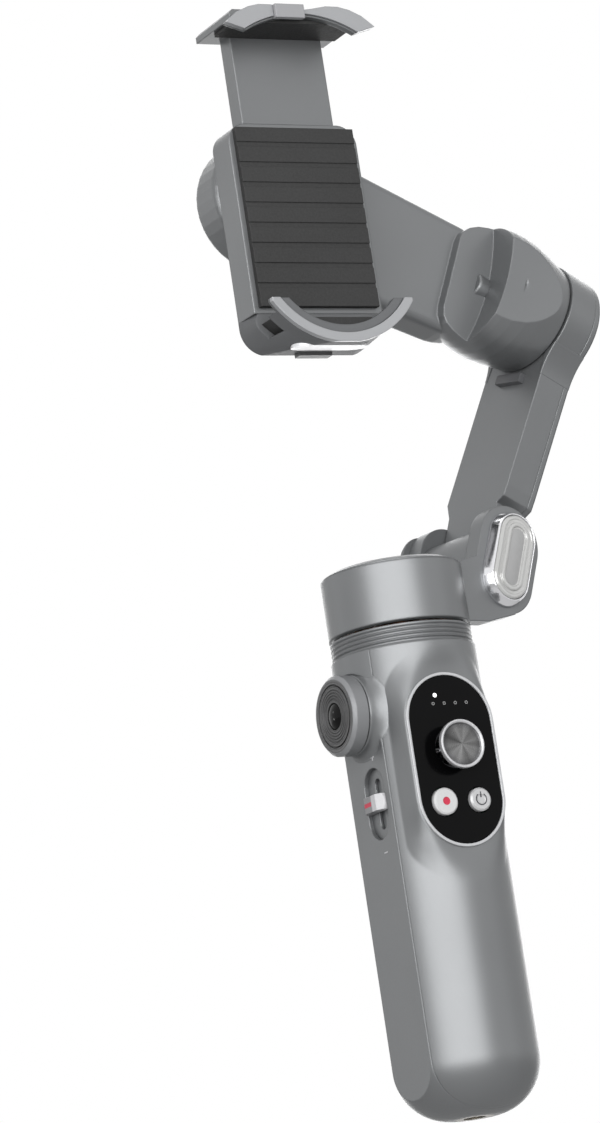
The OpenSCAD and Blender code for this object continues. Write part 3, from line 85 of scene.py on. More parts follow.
class Finish:
    """A principled material with helpers for its node tree."""

    def __init__(self, name, metallic=0.0, coat=0.0, coat_rough=0.1, specular=0.5):
        self.mat = bpy.data.materials.new(name)
        self.mat.use_nodes = True
        self.tree = self.mat.node_tree
        self.shader = self.tree.nodes["Principled BSDF"]
        self.where = self.node("TexCoord").outputs["Object"]
        for socket, value in (("Metallic", metallic), ("Coat Weight", coat), ("Coat Roughness", coat_rough),
                              ("Specular IOR Level", specular), ("IOR", 1.45)):
            self.shader.inputs[socket].default_value = value

    def node(self, kind):
        return self.tree.nodes.new("ShaderNode" + kind)

    def link(self, out, socket):
        self.tree.links.new(out, socket)

    def feed(self, socket, value):
        """Give a socket a number, a colour or another node's output."""
        if isinstance(value, tuple):
            socket.default_value = (*value, 1)
        elif isinstance(value, (int, float)):
            socket.default_value = value
        else:
            self.link(value, socket)

    def noise(self, scale, detail=2.0, rough=0.5, place=None):
        n = self.node("TexNoise")
        n.inputs["Scale"].default_value = scale
        n.inputs["Detail"].default_value = detail
        n.inputs["Roughness"].default_value = rough
        self.link(self.where if place is None else place, n.inputs["Vector"])
        return n.outputs["Fac"]

    def ramp(self, source, stops, hard=False):
        """Colour by steps of (place, grey or colour)."""
        r = self.node("ValToRGB")
        r.color_ramp.interpolation = "CONSTANT" if hard else "LINEAR"
        while len(r.color_ramp.elements) < len(stops):
            r.color_ramp.elements.new(0.5)
        for e, (at, c) in zip(r.color_ramp.elements, stops):
            e.position = at
            e.color = (*c, 1) if isinstance(c, tuple) else (c, c, c, 1)
        self.link(source, r.inputs["Fac"])
        return r.outputs["Color"]

    def spread(self, source, low, high, start=0.35, end=0.65):
        n = self.node("MapRange")
        for socket, value in (("From Min", start), ("From Max", end), ("To Min", low), ("To Max", high)):
            n.inputs[socket].default_value = value
        self.link(source, n.inputs["Value"])
        return n.outputs["Result"]

    def calc(self, kind, *values):
        n = self.node("Math")
        n.operation = kind
        for socket, value in zip(n.inputs, values):
            self.feed(socket, value)
        return n.outputs["Value"]

    def mix(self, fac, a, b, kind="MIX"):
        n = self.node("Mix")
        n.data_type = "RGBA"
        n.blend_type = kind
        for k, v in ((0, fac), (6, a), (7, b)):
            self.feed(n.inputs[k], v)
        return n.outputs[2]

    def vector(self, kind, source, value=None):
        n = self.node("VectorMath")
        n.operation = kind
        self.link(source, n.inputs[0])
        if value is not None:
            n.inputs[1].default_value = value
        return n.outputs["Value" if kind in ("LENGTH", "DOT_PRODUCT") else "Vector"]

    def offset(self, centre, mask=(1, 1, 1)):
        """Vector from a centre, in millimetres, with only the axes of the mask kept."""
        shifted = self.vector("SUBTRACT", self.where, m(centre))
        return self.vector("MULTIPLY", shifted, tuple(MM * v for v in mask))

    def radius(self, centre, mask):
        return self.vector("LENGTH", self.offset(centre, mask))

    def along(self, centre, axis):
        return self.vector("DOT_PRODUCT", self.offset(centre), axis)

    def edges(self, radius):
        b = self.node("Bevel")
        b.samples = 6
        b.inputs["Radius"].default_value = radius
        return b.outputs["Normal"]

    def bump(self, source, distance, under=None):
        b = self.node("Bump")
        b.inputs["Distance"].default_value = distance
        b.inputs["Strength"].default_value = 1.0
        self.link(source, b.inputs["Height"])
        if under is not None:
            self.link(under, b.inputs["Normal"])
        return b.outputs["Normal"]

    def base(self, colour):
        self.link(colour, self.shader.inputs["Base Color"])

    def rough(self, value):
        self.link(value, self.shader.inputs["Roughness"])

    def normal(self, value):
        self.link(value, self.shader.inputs["Normal"])

    def grain(self, fine, rough, height, edges):
        """Roughness and fine bumps from one noise, with soft edges."""
        self.rough(self.spread(fine, *rough))
        self.normal(self.bump(fine, height, self.edges(edges) if edges else None))


def paint(name, colour, metallic, rough, vary, grain, height, edges=0.0, coat=0.0, coat_rough=0.1,
          specular=0.5, glow=0.0):
    """Paint, plastic or metal with a fine grain and a slow change of tone."""
    f = Finish(name, metallic, coat, coat_rough, specular)
    low = tuple(c * (1 - vary) for c in colour)
    high = tuple(min(1.0, c * (1 + vary)) for c in colour)
    f.base(f.ramp(f.noise(35.0), [(0.3, low), (0.7, high)]))
    f.grain(f.noise(grain, 2.0, 0.6), rough, height, edges)
    if glow:
        f.shader.inputs["Emission Color"].default_value = (*WHITE, 1)
        f.shader.inputs["Emission Strength"].default_value = glow
    return f


def ring_face(name, centre, axis, stops, metals, rough, pitch, depth, band, edges, painted_sheen=None):
    """A turned face: colour and metal follow the radius, with fine rings over a band of radii.

    Its last argument, if given, is (scale, dark, light, radius): painted highlight and shade streaks by angle
    inside that radius, a painted sheen that stands in for the fan of reflections on the spun face."""
    f = Finish(name)
    mask = tuple(0 if a == axis else 1 for a in "XYZ")
    brushed = f.node("Tangent")
    brushed.direction_type = "RADIAL"
    brushed.axis = axis
    f.link(brushed.outputs["Tangent"], f.shader.inputs["Tangent"])
    f.shader.inputs["Anisotropic"].default_value = 0.75
    r = f.radius(centre, mask)
    reach = 10.0
    share = f.spread(r, 0.0, 1.0, 0.0, reach)
    tone = f.ramp(share, [(a / reach, c) for a, c in stops])
    # Painted highlight: streaks by angle lighten and darken the face inside the radius, as reflections on a
    # spun face would.
    if painted_sheen:
        scale, dark, light, end = painted_sheen
        sheen_streaks = f.noise(scale, place=f.vector("NORMALIZE", f.offset(centre, mask)))
        sheen_shading = f.ramp(f.spread(sheen_streaks, 0.0, 1.0), [(0.0, dark), (1.0, light)])
        tone = f.mix(1.0, tone, f.mix(f.calc("GREATER_THAN", r, end), sheen_shading, WHITE), "MULTIPLY")
    f.base(tone)
    f.link(f.ramp(share, [(a / reach, c) for a, c in metals]), f.shader.inputs["Metallic"])
    f.rough(f.spread(f.noise(1400.0), *rough))
    wave = f.calc("SINE", f.calc("MULTIPLY", r, 2 * math.pi / pitch))
    inside = f.calc("MULTIPLY", f.calc("GREATER_THAN", r, band[0]), f.calc("LESS_THAN", r, band[1]))
    f.normal(f.bump(f.calc("MULTIPLY", wave, inside), depth, f.edges(edges)))
    return f


def zoom_painted_highlight():
    """Casing-grey knob with a painted highlight: its front half painted lighter as if lit, and a red mark
    across the rear half of its face.
    """
    f = Finish("zoom_painted_highlight")
    z = f.calc("ABSOLUTE", f.along(SLOT, (0, 0, 1)))
    y = f.along(SLOT, (0, 1, 0))
    line = f.calc("MULTIPLY", f.calc("LESS_THAN", z, 0.5), f.calc("GREATER_THAN", y, -0.6))
    fine = f.noise(2200.0)
    # Painted highlight: the front half is painted pale as lit, the rear half keeps the casing grey.
    pale = f.ramp(fine, [(0.3, (0.48, 0.48, 0.49)), (0.7, (0.53, 0.53, 0.54))])
    grey = f.ramp(fine, [(0.3, (0.20, 0.20, 0.205)), (0.7, (0.23, 0.23, 0.235))])
    tone = f.mix(f.spread(y, 0.0, 1.0, -0.9, -0.5), pale, grey)
    f.base(f.mix(line, tone, RED))
    f.grain(fine, (0.36, 0.44), 0.000006, 0.0003)
    return f


def record_paint():
    """White button with a red dot in its middle."""
    f = Finish("record_paint")
    r = f.radius((-BUTTON_X, 0.0, BUTTON_Z), (1, 0, 1))
    fine = f.noise(2500.0)
    white = f.ramp(fine, [(0.3, 0.50), (0.7, 0.54)])
    dot = f.ramp(f.spread(r, 0.0, 1.0, 0.0, 4.0), [(0.0, 1.0), (0.24, 0.0)], True)
    f.base(f.mix(dot, white, RED))
    f.grain(fine, (0.42, 0.5), 0.000006, 0.0003)
    return f


def accessory_paint():
    """Bright inlay in front, dark catch behind it."""
    f = Finish("accessory_paint", 0.2)
    y = f.spread(f.along((0.0, CLAMP_FACE, 0.0), (0, 1, 0)), 0.0, 1.0, 0.0, 10.0)
    fine = f.noise(2000.0)
    tone = f.ramp(y, [(0.0, (0.72, 0.72, 0.73)), (0.45, (0.12, 0.12, 0.122))], True)
    f.base(f.mix(1.0, tone, f.ramp(fine, [(0.3, 0.94), (0.7, 1.0)]), "MULTIPLY"))
    f.grain(fine, (0.28, 0.38), 0.000006, 0.0002)
    return f


# Each paint: name, colour, metal, roughness range, change of tone, grain's scale and height, edge radius
M = {
    "casing": paint("casing_paint", GREY, 0.62, (0.38, 0.43), 0.03, 2600.0, 0.000006, 0.0005),
    "dark_casing": paint("dark_satin", (0.075, 0.076, 0.08), 0.1, (0.38, 0.46), 0.06, 2400.0, 0.00001,
                         0.0003),
    "bright_metal": paint("bright_metal", (0.82, 0.82, 0.84), 1.0, (0.08, 0.14), 0.03, 1500.0, 0.000003,
                          0.0003),
    "lip_metal": paint("lip_silver", (0.33, 0.335, 0.345), 0.5, (0.3, 0.38), 0.04, 1800.0, 0.000008, 0.0003),
    "panel_gloss": paint("panel_gloss", (0.002, 0.002, 0.0022), 0.0, (0.12, 0.16), 0.2, 400.0, 0.000001,
                         0.0002, specular=0.1),
    "clear_cover": paint("clear_cover", (0.44, 0.44, 0.432), 0.3, (0.16, 0.22), 0.04, 700.0, 0.000003,
                         0.0003, coat=1.0, coat_rough=0.04),
    "white_button": paint("white_plastic", (0.62, 0.62, 0.61), 0.0, (0.42, 0.5), 0.02, 2500.0, 0.000006,
                          0.0003),
    "grey_button": paint("grey_plastic", (0.46, 0.46, 0.465), 0.3, (0.36, 0.44), 0.03, 2500.0, 0.000006,
                         0.0003),
    "grip_rubber": paint("grip_rubber", (0.02, 0.02, 0.02), 0.0, (0.62, 0.75), 0.15, 1800.0, 0.00003, 0.0003),
    "steel": paint("machined_steel", (0.45, 0.45, 0.46), 1.0, (0.24, 0.34), 0.05, 1500.0, 0.000008),
    "brass": paint("machined_brass", (0.70, 0.50, 0.22), 1.0, (0.22, 0.32), 0.05, 1500.0, 0.000008),
    "winding": paint("copper_winding", (0.30, 0.13, 0.05), 0.9, (0.3, 0.42), 0.12, 3000.0, 0.00004),
    "magnet": paint("nickel_plate", (0.30, 0.30, 0.31), 1.0, (0.25, 0.35), 0.06, 1500.0, 0.000008),
    "board": paint("solder_mask", (0.02, 0.10, 0.05), 0.0, (0.3, 0.4), 0.15, 800.0, 0.00001),
    "cell": paint("shrink_wrap", (0.04, 0.14, 0.32), 0.0, (0.28, 0.36), 0.08, 500.0, 0.00001, coat=0.3),
}
SPECIAL = {
    # The joystick face carries painted highlight streaks by angle, from ring_face's last argument.
    "joystick_cap": ring_face(
        "joystick_face", STICK, "Y",
        [(0.0, 0.15), (3.6, 0.12), (4.6, (0.08, 0.08, 0.082)), (5.0, (0.08, 0.08, 0.082)),
         (5.1, (0.46, 0.46, 0.47)), (5.72, (0.46, 0.46, 0.47)), (5.79, (0.26, 0.26, 0.265))],
        [(0.0, 0.9), (4.9, 0.7), (5.1, 0.25), (5.8, 0.2)],
        rough=(0.24, 0.28), pitch=0.47, depth=0.000004, band=(0.4, 4.6), edges=0.0002,
        painted_sheen=(1.1, 0.45, 1.6, 5.0)),
    "side_wheel": ring_face(
        "wheel_face", WHEEL, "X",
        [(2.9, 0.05), (3.4, (0.07, 0.07, 0.071)), (6.9, (0.08, 0.08, 0.081)), (7.15, 0.03),
         (7.3, (0.09, 0.09, 0.092)), (8.5, (0.11, 0.11, 0.112)), (8.75, (0.20, 0.204, 0.21))],
        [(3.0, 0.5), (8.5, 0.45), (8.8, 0.3)],
        rough=(0.34, 0.42), pitch=0.62, depth=0.00004, band=(3.2, 8.5), edges=0.0003),
    "zoom_slider": zoom_painted_highlight(),
    "record_button": record_paint(),
    "accessory_plate": accessory_paint(),
    "slider_plate": M["casing"],
    "joystick_stem": M["panel_gloss"],
    "status_light": paint("status_lens", (0.9, 0.9, 0.9), 0.0, (0.3, 0.36), 0.02, 2500.0, 0.000004, glow=0.9),
    "panel_bezel": paint("bezel_metal", (0.46, 0.465, 0.475), 0.3, (0.28, 0.34), 0.03, 1500.0, 0.000004,
                         0.0003),
    "wheel_button": paint("lens_gloss", (0.003, 0.003, 0.003), 0.0, (0.05, 0.08), 0.2, 300.0, 0.000001,
                          coat=0.08, coat_rough=0.03, specular=0.12),
    # Painted shade: the lower jaw is a darker grey than the casing, standing in for the shade under the held
    # phone.
    "lower_jaw": paint("jaw_painted_shade", (0.125, 0.128, 0.132), 0.15, (0.52, 0.6), 0.03, 2600.0, 0.000006, 0.0005,
                       specular=0.2),
    "tripod_insert": paint("dark_brass", (0.17, 0.15, 0.12), 1.0, (0.3, 0.4), 0.08, 1500.0, 0.000008,
                           0.0003),
    "light_shoe": paint("shoe_metal", (0.30, 0.30, 0.31), 0.2, (0.32, 0.4), 0.04, 1800.0, 0.000006, 0.0003),
}
CAP_SLOT = paint("cap_slot", (0.33, 0.33, 0.33), 0.3, (0.35, 0.5), 0.1, 1200.0, 0.00003, coat=0.6,
                 coat_rough=0.08)
DARK_MARK = paint("dark_mark", (0.05, 0.05, 0.055), 0.0, (0.4, 0.5), 0.05, 2000.0, 0.000002)
FAINT_MARK = paint("faint_mark", (0.17, 0.17, 0.17), 0.0, (0.4, 0.5), 0.05, 2000.0, 0.000002)
LIGHT_MARK = paint("light_mark", (0.52, 0.52, 0.53), 0.0, (0.4, 0.5), 0.05, 2000.0, 0.000002)


def dress(obj, finish):
    obj.data.materials.clear()
    obj.data.materials.append(finish.mat)


slot_of = {row["node"]: row["material_slot"] for row in frame["record"]["subparts"]}
for name, obj in nodes.items():
    dress(obj, SPECIAL.get(name) or M[slot_of[name]])


# Helpers for the pieces

def add_object(name, data):
    obj = bpy.data.objects.new(name, data)
    bpy.context.scene.collection.objects.link(obj)
    return obj


def clean(mesh, merge=False):
    """Turn the faces outwards, after merging points that coincide where asked."""
    bm = bmesh.new()
    bm.from_mesh(mesh)
    if merge:
        bmesh.ops.remove_doubles(bm, verts=bm.verts, dist=1e-6)
    bmesh.ops.recalc_face_normals(bm, faces=bm.faces)
    bm.to_mesh(mesh)
    bm.free()


def new_piece(name, verts, faces, finish, body, slot):
    mesh = bpy.data.meshes.new(name)
    mesh.from_pydata([m(v) for v in verts], [], faces)
    mesh.validate()
    obj = add_object(name, mesh)
    clean(mesh)
    dress(obj, finish)
    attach(obj, body)
    return obj


def smooth(obj, angle=35.0):
    for p in obj.data.polygons:
        p.use_smooth = True
    obj.data.set_sharp_from_angle(angle=math.radians(angle))


def arc(r, start, end, steps):
    """Points of an arc, from one angle in degrees to another."""
    angles = [math.radians(start + (end - start) * k / steps) for k in range(steps + 1)]
    return [(r * math.cos(a), r * math.sin(a)) for a in angles]


def stadium(reach, r, steps=24):
    """Closed outline of a stadium along v, in (u, v)."""
    return ([(u, reach + v) for u, v in arc(r, 0, 180, steps)]
            + [(u, v - reach) for u, v in arc(r, 180, 360, steps)])


def stack(reach, levels, place):
    """Solid from (radius, height) levels of one stadium, closed at both ends."""
    verts, faces = [], []
    for r, h in levels:
        outline = stadium(reach, r)
        verts += [place(u, v, h) for u, v in outline]
    n = len(outline)
    for k in range(len(levels) - 1):
        for i in range(n):
            j = (i + 1) % n
            faces.append((k * n + i, k * n + j, (k + 1) * n + j, (k + 1) * n + i))
    last = (len(levels) - 1) * n
    faces += [tuple(range(n - 1, -1, -1)), tuple(range(last, last + n))]
    return verts, faces


def turned(name, place, outline, finish, body, slot, steps=96):
    """Closed lathe of an outline of (radius, height); place gives a point for (across, up, height)."""
    verts, faces = [], []
    n = len(outline)
    for k in range(steps):
        a = 2 * math.pi * k / steps
        verts += [place(r * math.cos(a), r * math.sin(a), h) for r, h in outline]
    for k in range(steps):
        j = (k + 1) % steps
        for i in range(n - 1):
            faces.append((k * n + i, j * n + i, j * n + i + 1, k * n + i + 1))
    obj = new_piece(name, verts, faces, finish, body, slot)
    clean(obj.data, merge=True)
    smooth(obj, 40)
    return obj


def strip(outer, inner, place, low, high, closed=False):
    """Flat band between two outlines, from one height to another."""
    n = len(outer)
    verts = [place(u, v, h) for h in (low, high) for outline in (outer, inner) for u, v in outline]
    faces = []
    for i in range(n if closed else n - 1):
        j = (i + 1) % n
        faces += [(i, j, n + j, n + i), (2 * n + i, 3 * n + i, 3 * n + j, 2 * n + j),
                  (i, 2 * n + i, 2 * n + j, j), (n + i, n + j, 3 * n + j, 3 * n + i)]
    if not closed:
        faces += [(0, n, 3 * n, 2 * n), (n - 1, 3 * n - 1, 4 * n - 1, 2 * n - 1)]
    return verts, faces


def block(left, right, bottom, top, place, low, high):
    return strip([(left, bottom), (left, top)], [(right, bottom), (right, top)], place, low, high)


def front_place(x, y, z):
    """Place function of the handle's front: u to the right, v up, h out."""
    return lambda u, v, h: (x + u, y - h, z + v)


def side_place(y, z):
    """Place function of the handle's flat side with the wheel: u to the front, v up, h out."""
    return lambda u, v, h: (-FLAT - h, y - u, z + v)


def hinge_place(u, v, h):
    """u across and v along the front ear, h out of its face."""
    x = HINGE[0] + u * math.cos(LEAN) + v * math.sin(LEAN)
    z = HINGE[2] - u * math.sin(LEAN) + v * math.cos(LEAN)
    y = -(EAR_FACE + h)
    return (x * math.cos(YAW) - y * math.sin(YAW), x * math.sin(YAW) + y * math.cos(YAW), z)


def arm_place(p, q, h):
    """h across the arm's thickness, p across its width and q up its length."""
    x = HINGE[0] + h * math.cos(LEAN) + q * math.sin(LEAN)
    z = HINGE[2] - h * math.sin(LEAN) + q * math.cos(LEAN)
    return (x * math.cos(YAW) - p * math.sin(YAW), x * math.sin(YAW) + p * math.cos(YAW), z)


# Joystick cap: a turned disc with a thin raised rim round a shallow dish with fine rings

DISC_FRONT = 20.7
DISC_BACK = 19.2
DISC_R = 5.8
DISH = DISC_FRONT - 0.52
fine_rings = [(0.35 + 0.235 * k, DISH + 0.012 * (k % 2)) for k in range(20)]
disc_outline = ([(0.0, DISC_BACK), (4.9, DISC_BACK), (5.5, DISC_BACK + 0.08),
                 (DISC_R - 0.02, DISC_BACK + 0.3), (DISC_R, DISC_BACK + 0.6), (DISC_R, DISC_FRONT - 0.35),
                 (5.72, DISC_FRONT - 0.1), (5.55, DISC_FRONT), (5.35, DISC_FRONT - 0.03),
                 (5.15, DISC_FRONT - 0.2), (4.95, DISC_FRONT - 0.42)]
                + fine_rings[::-1] + [(0.0, DISH)])
disc = turned("joystick_disc", front_place(*STICK), disc_outline, SPECIAL["joystick_cap"], "stick",
              "dark_casing")
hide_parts("joystick_cap")

# Seat of the side wheel: a boss that flares into the flat side and follows the handle where that turns round

BOSS_H = 2.6
BOSS_BACK = -1.7
BOSS_BORE = 2.4
BOSS_R = 9.2
HUB_R = 4.1
HUB_H = 4.9
FLARE_START = 9.5
FLARE_END = 11.2
FLAT_HALF = math.sqrt(HANDLE_R ** 2 - FLAT ** 2)


def boss_place(u, v, h):
    """As on the flat side, but the low rings sink to the handle's round front beside it."""
    y, z = WHEEL[1] - u, WHEEL[2] + v
    x = FLAT
    if abs(y) > FLAT_HALF and h < BOSS_H - 0.2:
        fall = FLAT - math.sqrt(max(0.0, HANDLE_R ** 2 - y * y))
        x -= fall * (1 - max(0.0, h) / BOSS_H)
    return (-x - h, y, z)


flare = [(FLARE_START + (FLARE_END - FLARE_START) * (1 - math.cos(a)), (BOSS_H - 0.3) * (1 - math.sin(a)))
         for a in quarter(12)]
boss_outline = ([(BOSS_BORE, BOSS_BACK), (BOSS_BORE, HUB_H), (HUB_R, HUB_H), (HUB_R, BOSS_H),
                 (BOSS_R, BOSS_H), (BOSS_R + 0.22, BOSS_H - 0.08)]
                + flare + [(FLARE_END, -0.5), (BOSS_BORE, BOSS_BACK)])
boss = turned("wheel_boss_flare", boss_place, boss_outline, M["casing"], "handle", "casing")
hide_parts("wheel_boss")

# Front shell of the handle: the round front, with a land round the panel that runs out in an arch above it
# and a round foot below it

LAND_DEPTH = 16.08
LAND_R = 11.72
OPENING_R = 11.3
DISH_Z = 80.8
DISH_HALF = (2.4, 16.9)
DISH_R = 11.0
NARROW, WIDE = 1.7, 6.7
CRISP, SOFT = 0.1, 0.35
SHELL_LOW = 0.93
FINE_FROM = 50.0
COLUMNS = 150


def profile(z):
    """Radius of the handle's round front at a height."""
    if z >= CORNER:
        return HANDLE_R
    return HANDLE_R - CORNER + math.sqrt(max(0.0, CORNER ** 2 - (CORNER - z) ** 2))


def round_box(x, z, a, b, r):
    """Distance from a rounded box, negative inside it."""
    dx, dz = abs(x) - a, abs(z) - b
    return math.hypot(max(dx, 0.0), max(dz, 0.0)) + min(max(dx, dz), 0.0) - r


def front_depth(x, z, r):
    """How far the front stands out from the axis: a soft step from the round front down to the land."""
    y = math.sqrt(max(r * r - x * x, 0.0))
    outside = round_box(x, z - DISH_Z, *DISH_HALF, DISH_R)
    rim = round_box(x, z - PANEL[2], 0.0, PANEL_HALF, LAND_R)
    if rim <= 0.0:
        return LAND_DEPTH
    if outside >= 0.0:
        return y
    width = min(1.0, max(0.0, (rim - outside - NARROW) / (WIDE - NARROW)))
    soft = CRISP + (SOFT - CRISP) * width
    s = -outside / (rim - outside)
    share = s - soft * math.sin(2 * math.pi * s) / (2 * math.pi)
    return y + (LAND_DEPTH - y) * share


rows = [SHELL_LOW + (CORNER - SHELL_LOW) * (1 - math.cos(a)) for a in quarter(22)[:-1]]
rows += [CORNER + (FINE_FROM - CORNER) * k / 24 for k in range(24)]
rows += [FINE_FROM + (HANDLE_H - FINE_FROM) * k / 170 for k in range(171)]
verts, faces = [], []
for z in rows:
    r = profile(z)
    widest = math.acos(min(1.0, SPLIT / r))
    for i in range(COLUMNS + 1):
        x = r * math.sin(widest * (2 * i / COLUMNS - 1))
        verts.append((x, -front_depth(x, z, r), z))
for j in range(len(rows) - 1):
    for i in range(COLUMNS):
        first = j * (COLUMNS + 1) + i
        above = first + COLUMNS + 1
        q = (first, first + 1, above + 1, above)
        x = sum(verts[k][0] for k in q) / 4
        z = sum(verts[k][2] for k in q) / 4
        if round_box(x, z - PANEL[2], 0.0, PANEL_HALF, OPENING_R) > 0.0:
            faces.append(q)
skin = new_piece("front_shell_cover", verts, faces, M["casing"], "handle", "casing")
if sum(p.normal.y * p.area for p in skin.data.polygons) > 0:
    skin.data.flip_normals()
wall = skin.modifiers.new("wall", "SOLIDIFY")
wall.thickness = 0.0015
wall.offset = -1
smooth(skin, 50)
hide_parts("handle_front_shell")

# Inlay and catch under the lower jaw: as the node, with a lower catch

CATCH_FRONT = -8.25
CATCH_FOOT = 182.1
source = nodes["accessory_plate"].data
verts = [tuple(MM * c for c in v.co) for v in source.vertices]
verts = [(x, y, max(z, CATCH_FOOT) if y > CATCH_FRONT else z) for x, y, z in verts]
inlay = new_piece("accessory_inlay", verts, [tuple(p.vertices) for p in source.polygons],
                  SPECIAL["accessory_plate"], "clamp", "bright_metal")
smooth(inlay, 30)
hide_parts("accessory_plate")

# Bright ring round the fold hinge's cap, with a slanted outer wall

ring_levels = [(6.85, 0.02), (6.85, 0.5), (6.72, 0.8), (6.0, 2.45), (5.85, 2.68), (5.7, 2.78), (5.55, 2.72),
               (5.47, 2.5), (5.47, 1.42)]
ring = new_piece("hinge_ring_trim", *stack(HINGE_REACH, ring_levels, hinge_place), M["bright_metal"],
                 "pan_head", "bright_metal")
smooth(ring, 30)
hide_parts("hinge_ring")

# Clear cap of the fold hinge: a round rim, a shallow step and a raised loop, with a sunk slot in its middle

cap_steps = [(0.0, 1.45), (0.0, 2.45), (0.12, 2.8), (0.4, 3.05), (0.75, 3.12), (1.0, 3.1), (1.12, 2.95),
             (1.9, 2.9), (2.02, 3.3), (2.25, 3.42), (2.75, 3.42), (2.95, 3.34), (3.05, 3.02), (3.35, 2.98)]
cap_levels = [(HINGE_CAP_R - inset, h) for inset, h in cap_steps]
slot_levels = [(HINGE_CAP_R - inset, h) for inset, h in ((3.4, 2.6), (3.4, 3.02), (3.5, 3.05))]
cap = new_piece("hinge_cap_cover", *stack(HINGE_REACH, cap_levels, hinge_place), M["clear_cover"], "pan_head",
                "clear_cover")
smooth(cap, 28)
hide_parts("hinge_cap")
smooth(new_piece("hinge_cap_slot", *stack(HINGE_REACH, slot_levels, hinge_place), CAP_SLOT, "pan_head",
                 "clear_cover"))

# Power sign: an open ring with a bar

SIGN_OUT = BUTTON_OUT + 0.03
power_place = front_place(BUTTON_X, PANEL[1], BUTTON_Z)
new_piece("power_sign_ring", *strip(arc(1.5, 125, 415, 40), arc(1.22, 125, 415, 40), power_place,
                                    BUTTON_OUT - 0.12, SIGN_OUT), DARK_MARK, "power_key", "grey_button")
new_piece("power_sign_bar", *block(-0.15, 0.15, 0.45, 1.75, power_place, BUTTON_OUT - 0.2, SIGN_OUT),
          DARK_MARK, "power_key", "grey_button")

# Four plain ring-shaped mode windows over the joystick

WINDOW_Z = 95.0
for k, x in enumerate((-3.7, -0.7, 2.3, 5.3)):
    new_piece("mode_window_%d" % (k + 1), *strip(arc(0.42, 0, 345, 23), arc(0.2, 0, 345, 23),
                                                 front_place(x, PANEL[1], WINDOW_Z), -0.1, 0.02, closed=True),
              FAINT_MARK, "handle", "panel_gloss")

# Shield behind the zoom slot: a thin plate on the knob's tongue that keeps the slot's opening closed

new_piece("zoom_shield", *stack(7.8, [(2.0, -2.2), (2.0, -1.98)], side_place(SLOT[1], SLOT[2])), M["casing"],
          "zoom_key", "casing")

# Roundings where the arm's straight sides run into its round head, as wedges between side, arc and head

ARM_HALF = 10.75
ARM_LOW, ARM_HIGH = -2.47, 7.17
HEAD_R = 14.8
ROUND_R = 17.0
FLARE_Z, SIDE_STEP = 20.5, 0.75
SUNK = 0.6
CORNER_IN, CORNER_UP = 1.2, 1.0
ARC_STEPS = 16

side_lean = math.atan2(ARM_STEP - SIDE_STEP, ARM_LEN - FLARE_Z)
for tag, side in (("front", -1), ("rear", 1)):
    run = Vector((-math.sin(side_lean), math.cos(side_lean)))
    away = Vector((side * run[1], -side * run[0]))
    head = Vector((-ARM_STEP, ARM_LEN))
    on_side = Vector((side * ARM_HALF - SIDE_STEP, FLARE_Z))
    inside = (on_side - head).dot(away)
    drop = math.sqrt((HEAD_R + ROUND_R) ** 2 - (inside + ROUND_R) ** 2)
    centre = head + away * (inside + ROUND_R) - run * drop
    start = -away
    end = (head - centre).normalized()
    pts = [centre + start.lerp(end, k / ARC_STEPS).normalized() * ROUND_R for k in range(ARC_STEPS + 1)]
    corner = head + away * (inside - CORNER_IN) - run * (math.sqrt(HEAD_R ** 2 - inside ** 2) - CORNER_UP)
    pts = [pts[0] - away * SUNK] + pts + [pts[-1] + (head - pts[-1]).normalized() * SUNK, corner]
    n = len(pts)
    verts = [arm_place(q[0], q[1], h) for h in (ARM_LOW, ARM_HIGH) for q in pts]
    faces = [(i, (i + 1) % n, n + (i + 1) % n, n + i) for i in range(n)]
    faces += [(i, (i + 1) % (n - 1), n - 1) for i in range(n - 2)]
    faces += [(n + i, n + (i + 1) % (n - 1), 2 * n - 1) for i in range(n - 2)]
    smooth(new_piece("arm_rounding_%s" % tag, verts, faces, M["casing"], "arm", "casing"), 40)

# Cap over the end of the tilt axle

AXLE_END = -21.46
axle_outline = [(0.0, -2.5), (3.1, -2.5), (3.1, 0.3), (3.0, 0.55), (2.75, 0.75), (2.4, 0.8), (2.2, 0.72),
                (0.0, 0.78)]
turned("tilt_axle_cap", lambda u, v, h: arm_place(u - ARM_STEP, ARM_LEN + v, AXLE_END - h), axle_outline,
       M["casing"], "tilt_head", "casing", 64)

# Plus and minus signs at the ends of the zoom slot

SIGN_HALF, SIGN_STROKE = 0.75, 0.13
lying = (-SIGN_HALF, SIGN_HALF, -SIGN_STROKE, SIGN_STROKE)
standing = (-SIGN_STROKE, SIGN_STROKE, -SIGN_HALF, SIGN_HALF)
for name, y, z, bars in (("zoom_in", -3.7, 85.5, (lying, standing)), ("zoom_out", -3.5, 62.9, (lying,))):
    for k, bar in enumerate(bars):
        new_piece("%s_sign_%d" % (name, k + 1), *block(*bar, side_place(y, z), -0.1, 0.03), LIGHT_MARK,
                  "handle", "lip_metal")


# Stage: pale floor, white backdrop for the camera, soft studio lamps

def seen_ray(tree):
    """1 for camera, glossy and transmission rays, 0 for the light that falls on the object."""
    path = tree.nodes.new("ShaderNodeLightPath")
    total = path.outputs["Is Camera Ray"]
    for ray in ("Is Glossy Ray", "Is Transmission Ray"):
        add = tree.nodes.new("ShaderNodeMath")
        add.operation = "ADD"
        add.use_clamp = True
        tree.links.new(total, add.inputs[0])
        tree.links.new(path.outputs[ray], add.inputs[1])
        total = add.outputs["Value"]
    return total


def light_node(tree, kind, colour, strength):
    n = tree.nodes.new("ShaderNode" + kind)
    n.inputs["Color"].default_value = (*colour, 1)
    n.inputs["Strength"].default_value = strength
    return n.outputs[kind]


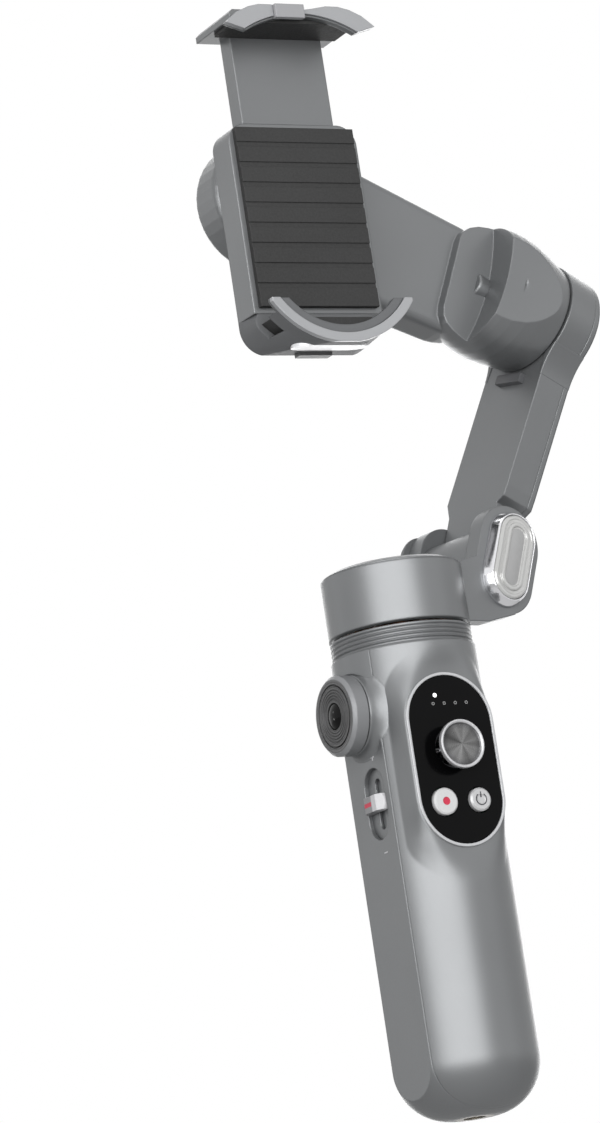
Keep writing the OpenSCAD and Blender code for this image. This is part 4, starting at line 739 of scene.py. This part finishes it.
def blend(tree, fac, a, b, end):
    """Mix two shaders into a surface socket."""
    mix = tree.nodes.new("ShaderNodeMixShader")
    for socket, source in zip(mix.inputs, (fac, a, b)):
        tree.links.new(source, socket)
    tree.links.new(mix.outputs["Shader"], end.inputs["Surface"])


world = bpy.context.scene.world or bpy.data.worlds.new("World")
bpy.context.scene.world = world
world.use_nodes = True
wt = world.node_tree
wt.nodes.clear()
blend(wt, seen_ray(wt), light_node(wt, "Background", (0.60, 0.61, 0.63), 0.25),
      light_node(wt, "Background", WHITE, 1.0), wt.nodes.new("ShaderNodeOutputWorld"))

# Seen directly or in a reflection the floor is pale; a quarter of it stays lit and keeps the shadow
FLOOR_Z = -0.8
FLOOR_HALF = 30.0
floor_mesh = bpy.data.meshes.new("floor")
corners = [(a * FLOOR_HALF, b * FLOOR_HALF, FLOOR_Z) for a, b in ((-1, -1), (1, -1), (1, 1), (-1, 1))]
floor_mesh.from_pydata(corners, [], [(0, 1, 2, 3)])
floor = add_object("floor", floor_mesh)
pale = Finish("floor_pale")
pale.base(pale.ramp(pale.noise(6.0, 3.0), [(0.3, 0.62), (0.7, 0.66)]))
pale.shader.inputs["Roughness"].default_value = 0.8
blend(pale.tree, pale.calc("MULTIPLY", seen_ray(pale.tree), 0.75), pale.shader.outputs["BSDF"],
      light_node(pale.tree, "Emission", (0.64, 0.64, 0.64), 1.0), pale.tree.nodes["Material Output"])
dress(floor, pale)


def lamp(name, at, size, size_y, power):
    """Soft lamp aimed at the object's middle."""
    data = bpy.data.lights.new(name, "AREA")
    data.shape = "RECTANGLE"
    data.size = size
    data.size_y = size_y
    data.energy = power
    obj = add_object(name, data)
    obj.location = at
    obj.rotation_mode = "QUATERNION"
    obj.rotation_quaternion = (Vector((0.0, 0.0, 0.13)) - Vector(at)).to_track_quat("-Z", "Y")


lamp("key", (-0.80, -1.30, 0.3), 2.3, 1.2, 40)
lamp("front_fill", (0.95, -0.9, 0.3), 0.6, 1.1, 0.8)
lamp("top", (-0.1, 0.1, 1.35), 0.9, 0.9, 3)
lamp("back", (0.7, 1.1, 0.4), 1.3, 1.2, 12)
lamp("lens_high", (-0.95, 1.0, 0.62), 0.09, 0.09, 0.3)
lamp("lens_low", (-1.02, 0.95, 0.1), 0.11, 0.11, 0.4)

# Camera at the photograph's place

cam_data = bpy.data.cameras.new("camera")
cam_data.lens = 153.19
cam_data.sensor_width = 36
cam_data.sensor_height = 36
cam_data.sensor_fit = "AUTO"
cam_data.clip_start = 0.01
cam_data.clip_end = 50
cam = add_object("camera", cam_data)
right = Vector((0.87221649, -0.4669809, -0.14548961))
up = Vector((0.0245447, -0.25528914, 0.96655316))
back = Vector((-0.48850378, -0.84661461, -0.2112055))
turn = Matrix((right, up, back)).transposed().to_4x4()
cam.matrix_world = Matrix.Translation((-0.572909, -0.951263, -0.103314)) @ turn
bpy.context.scene.camera = cam
bpy.context.scene.view_settings.view_transform = "Standard"
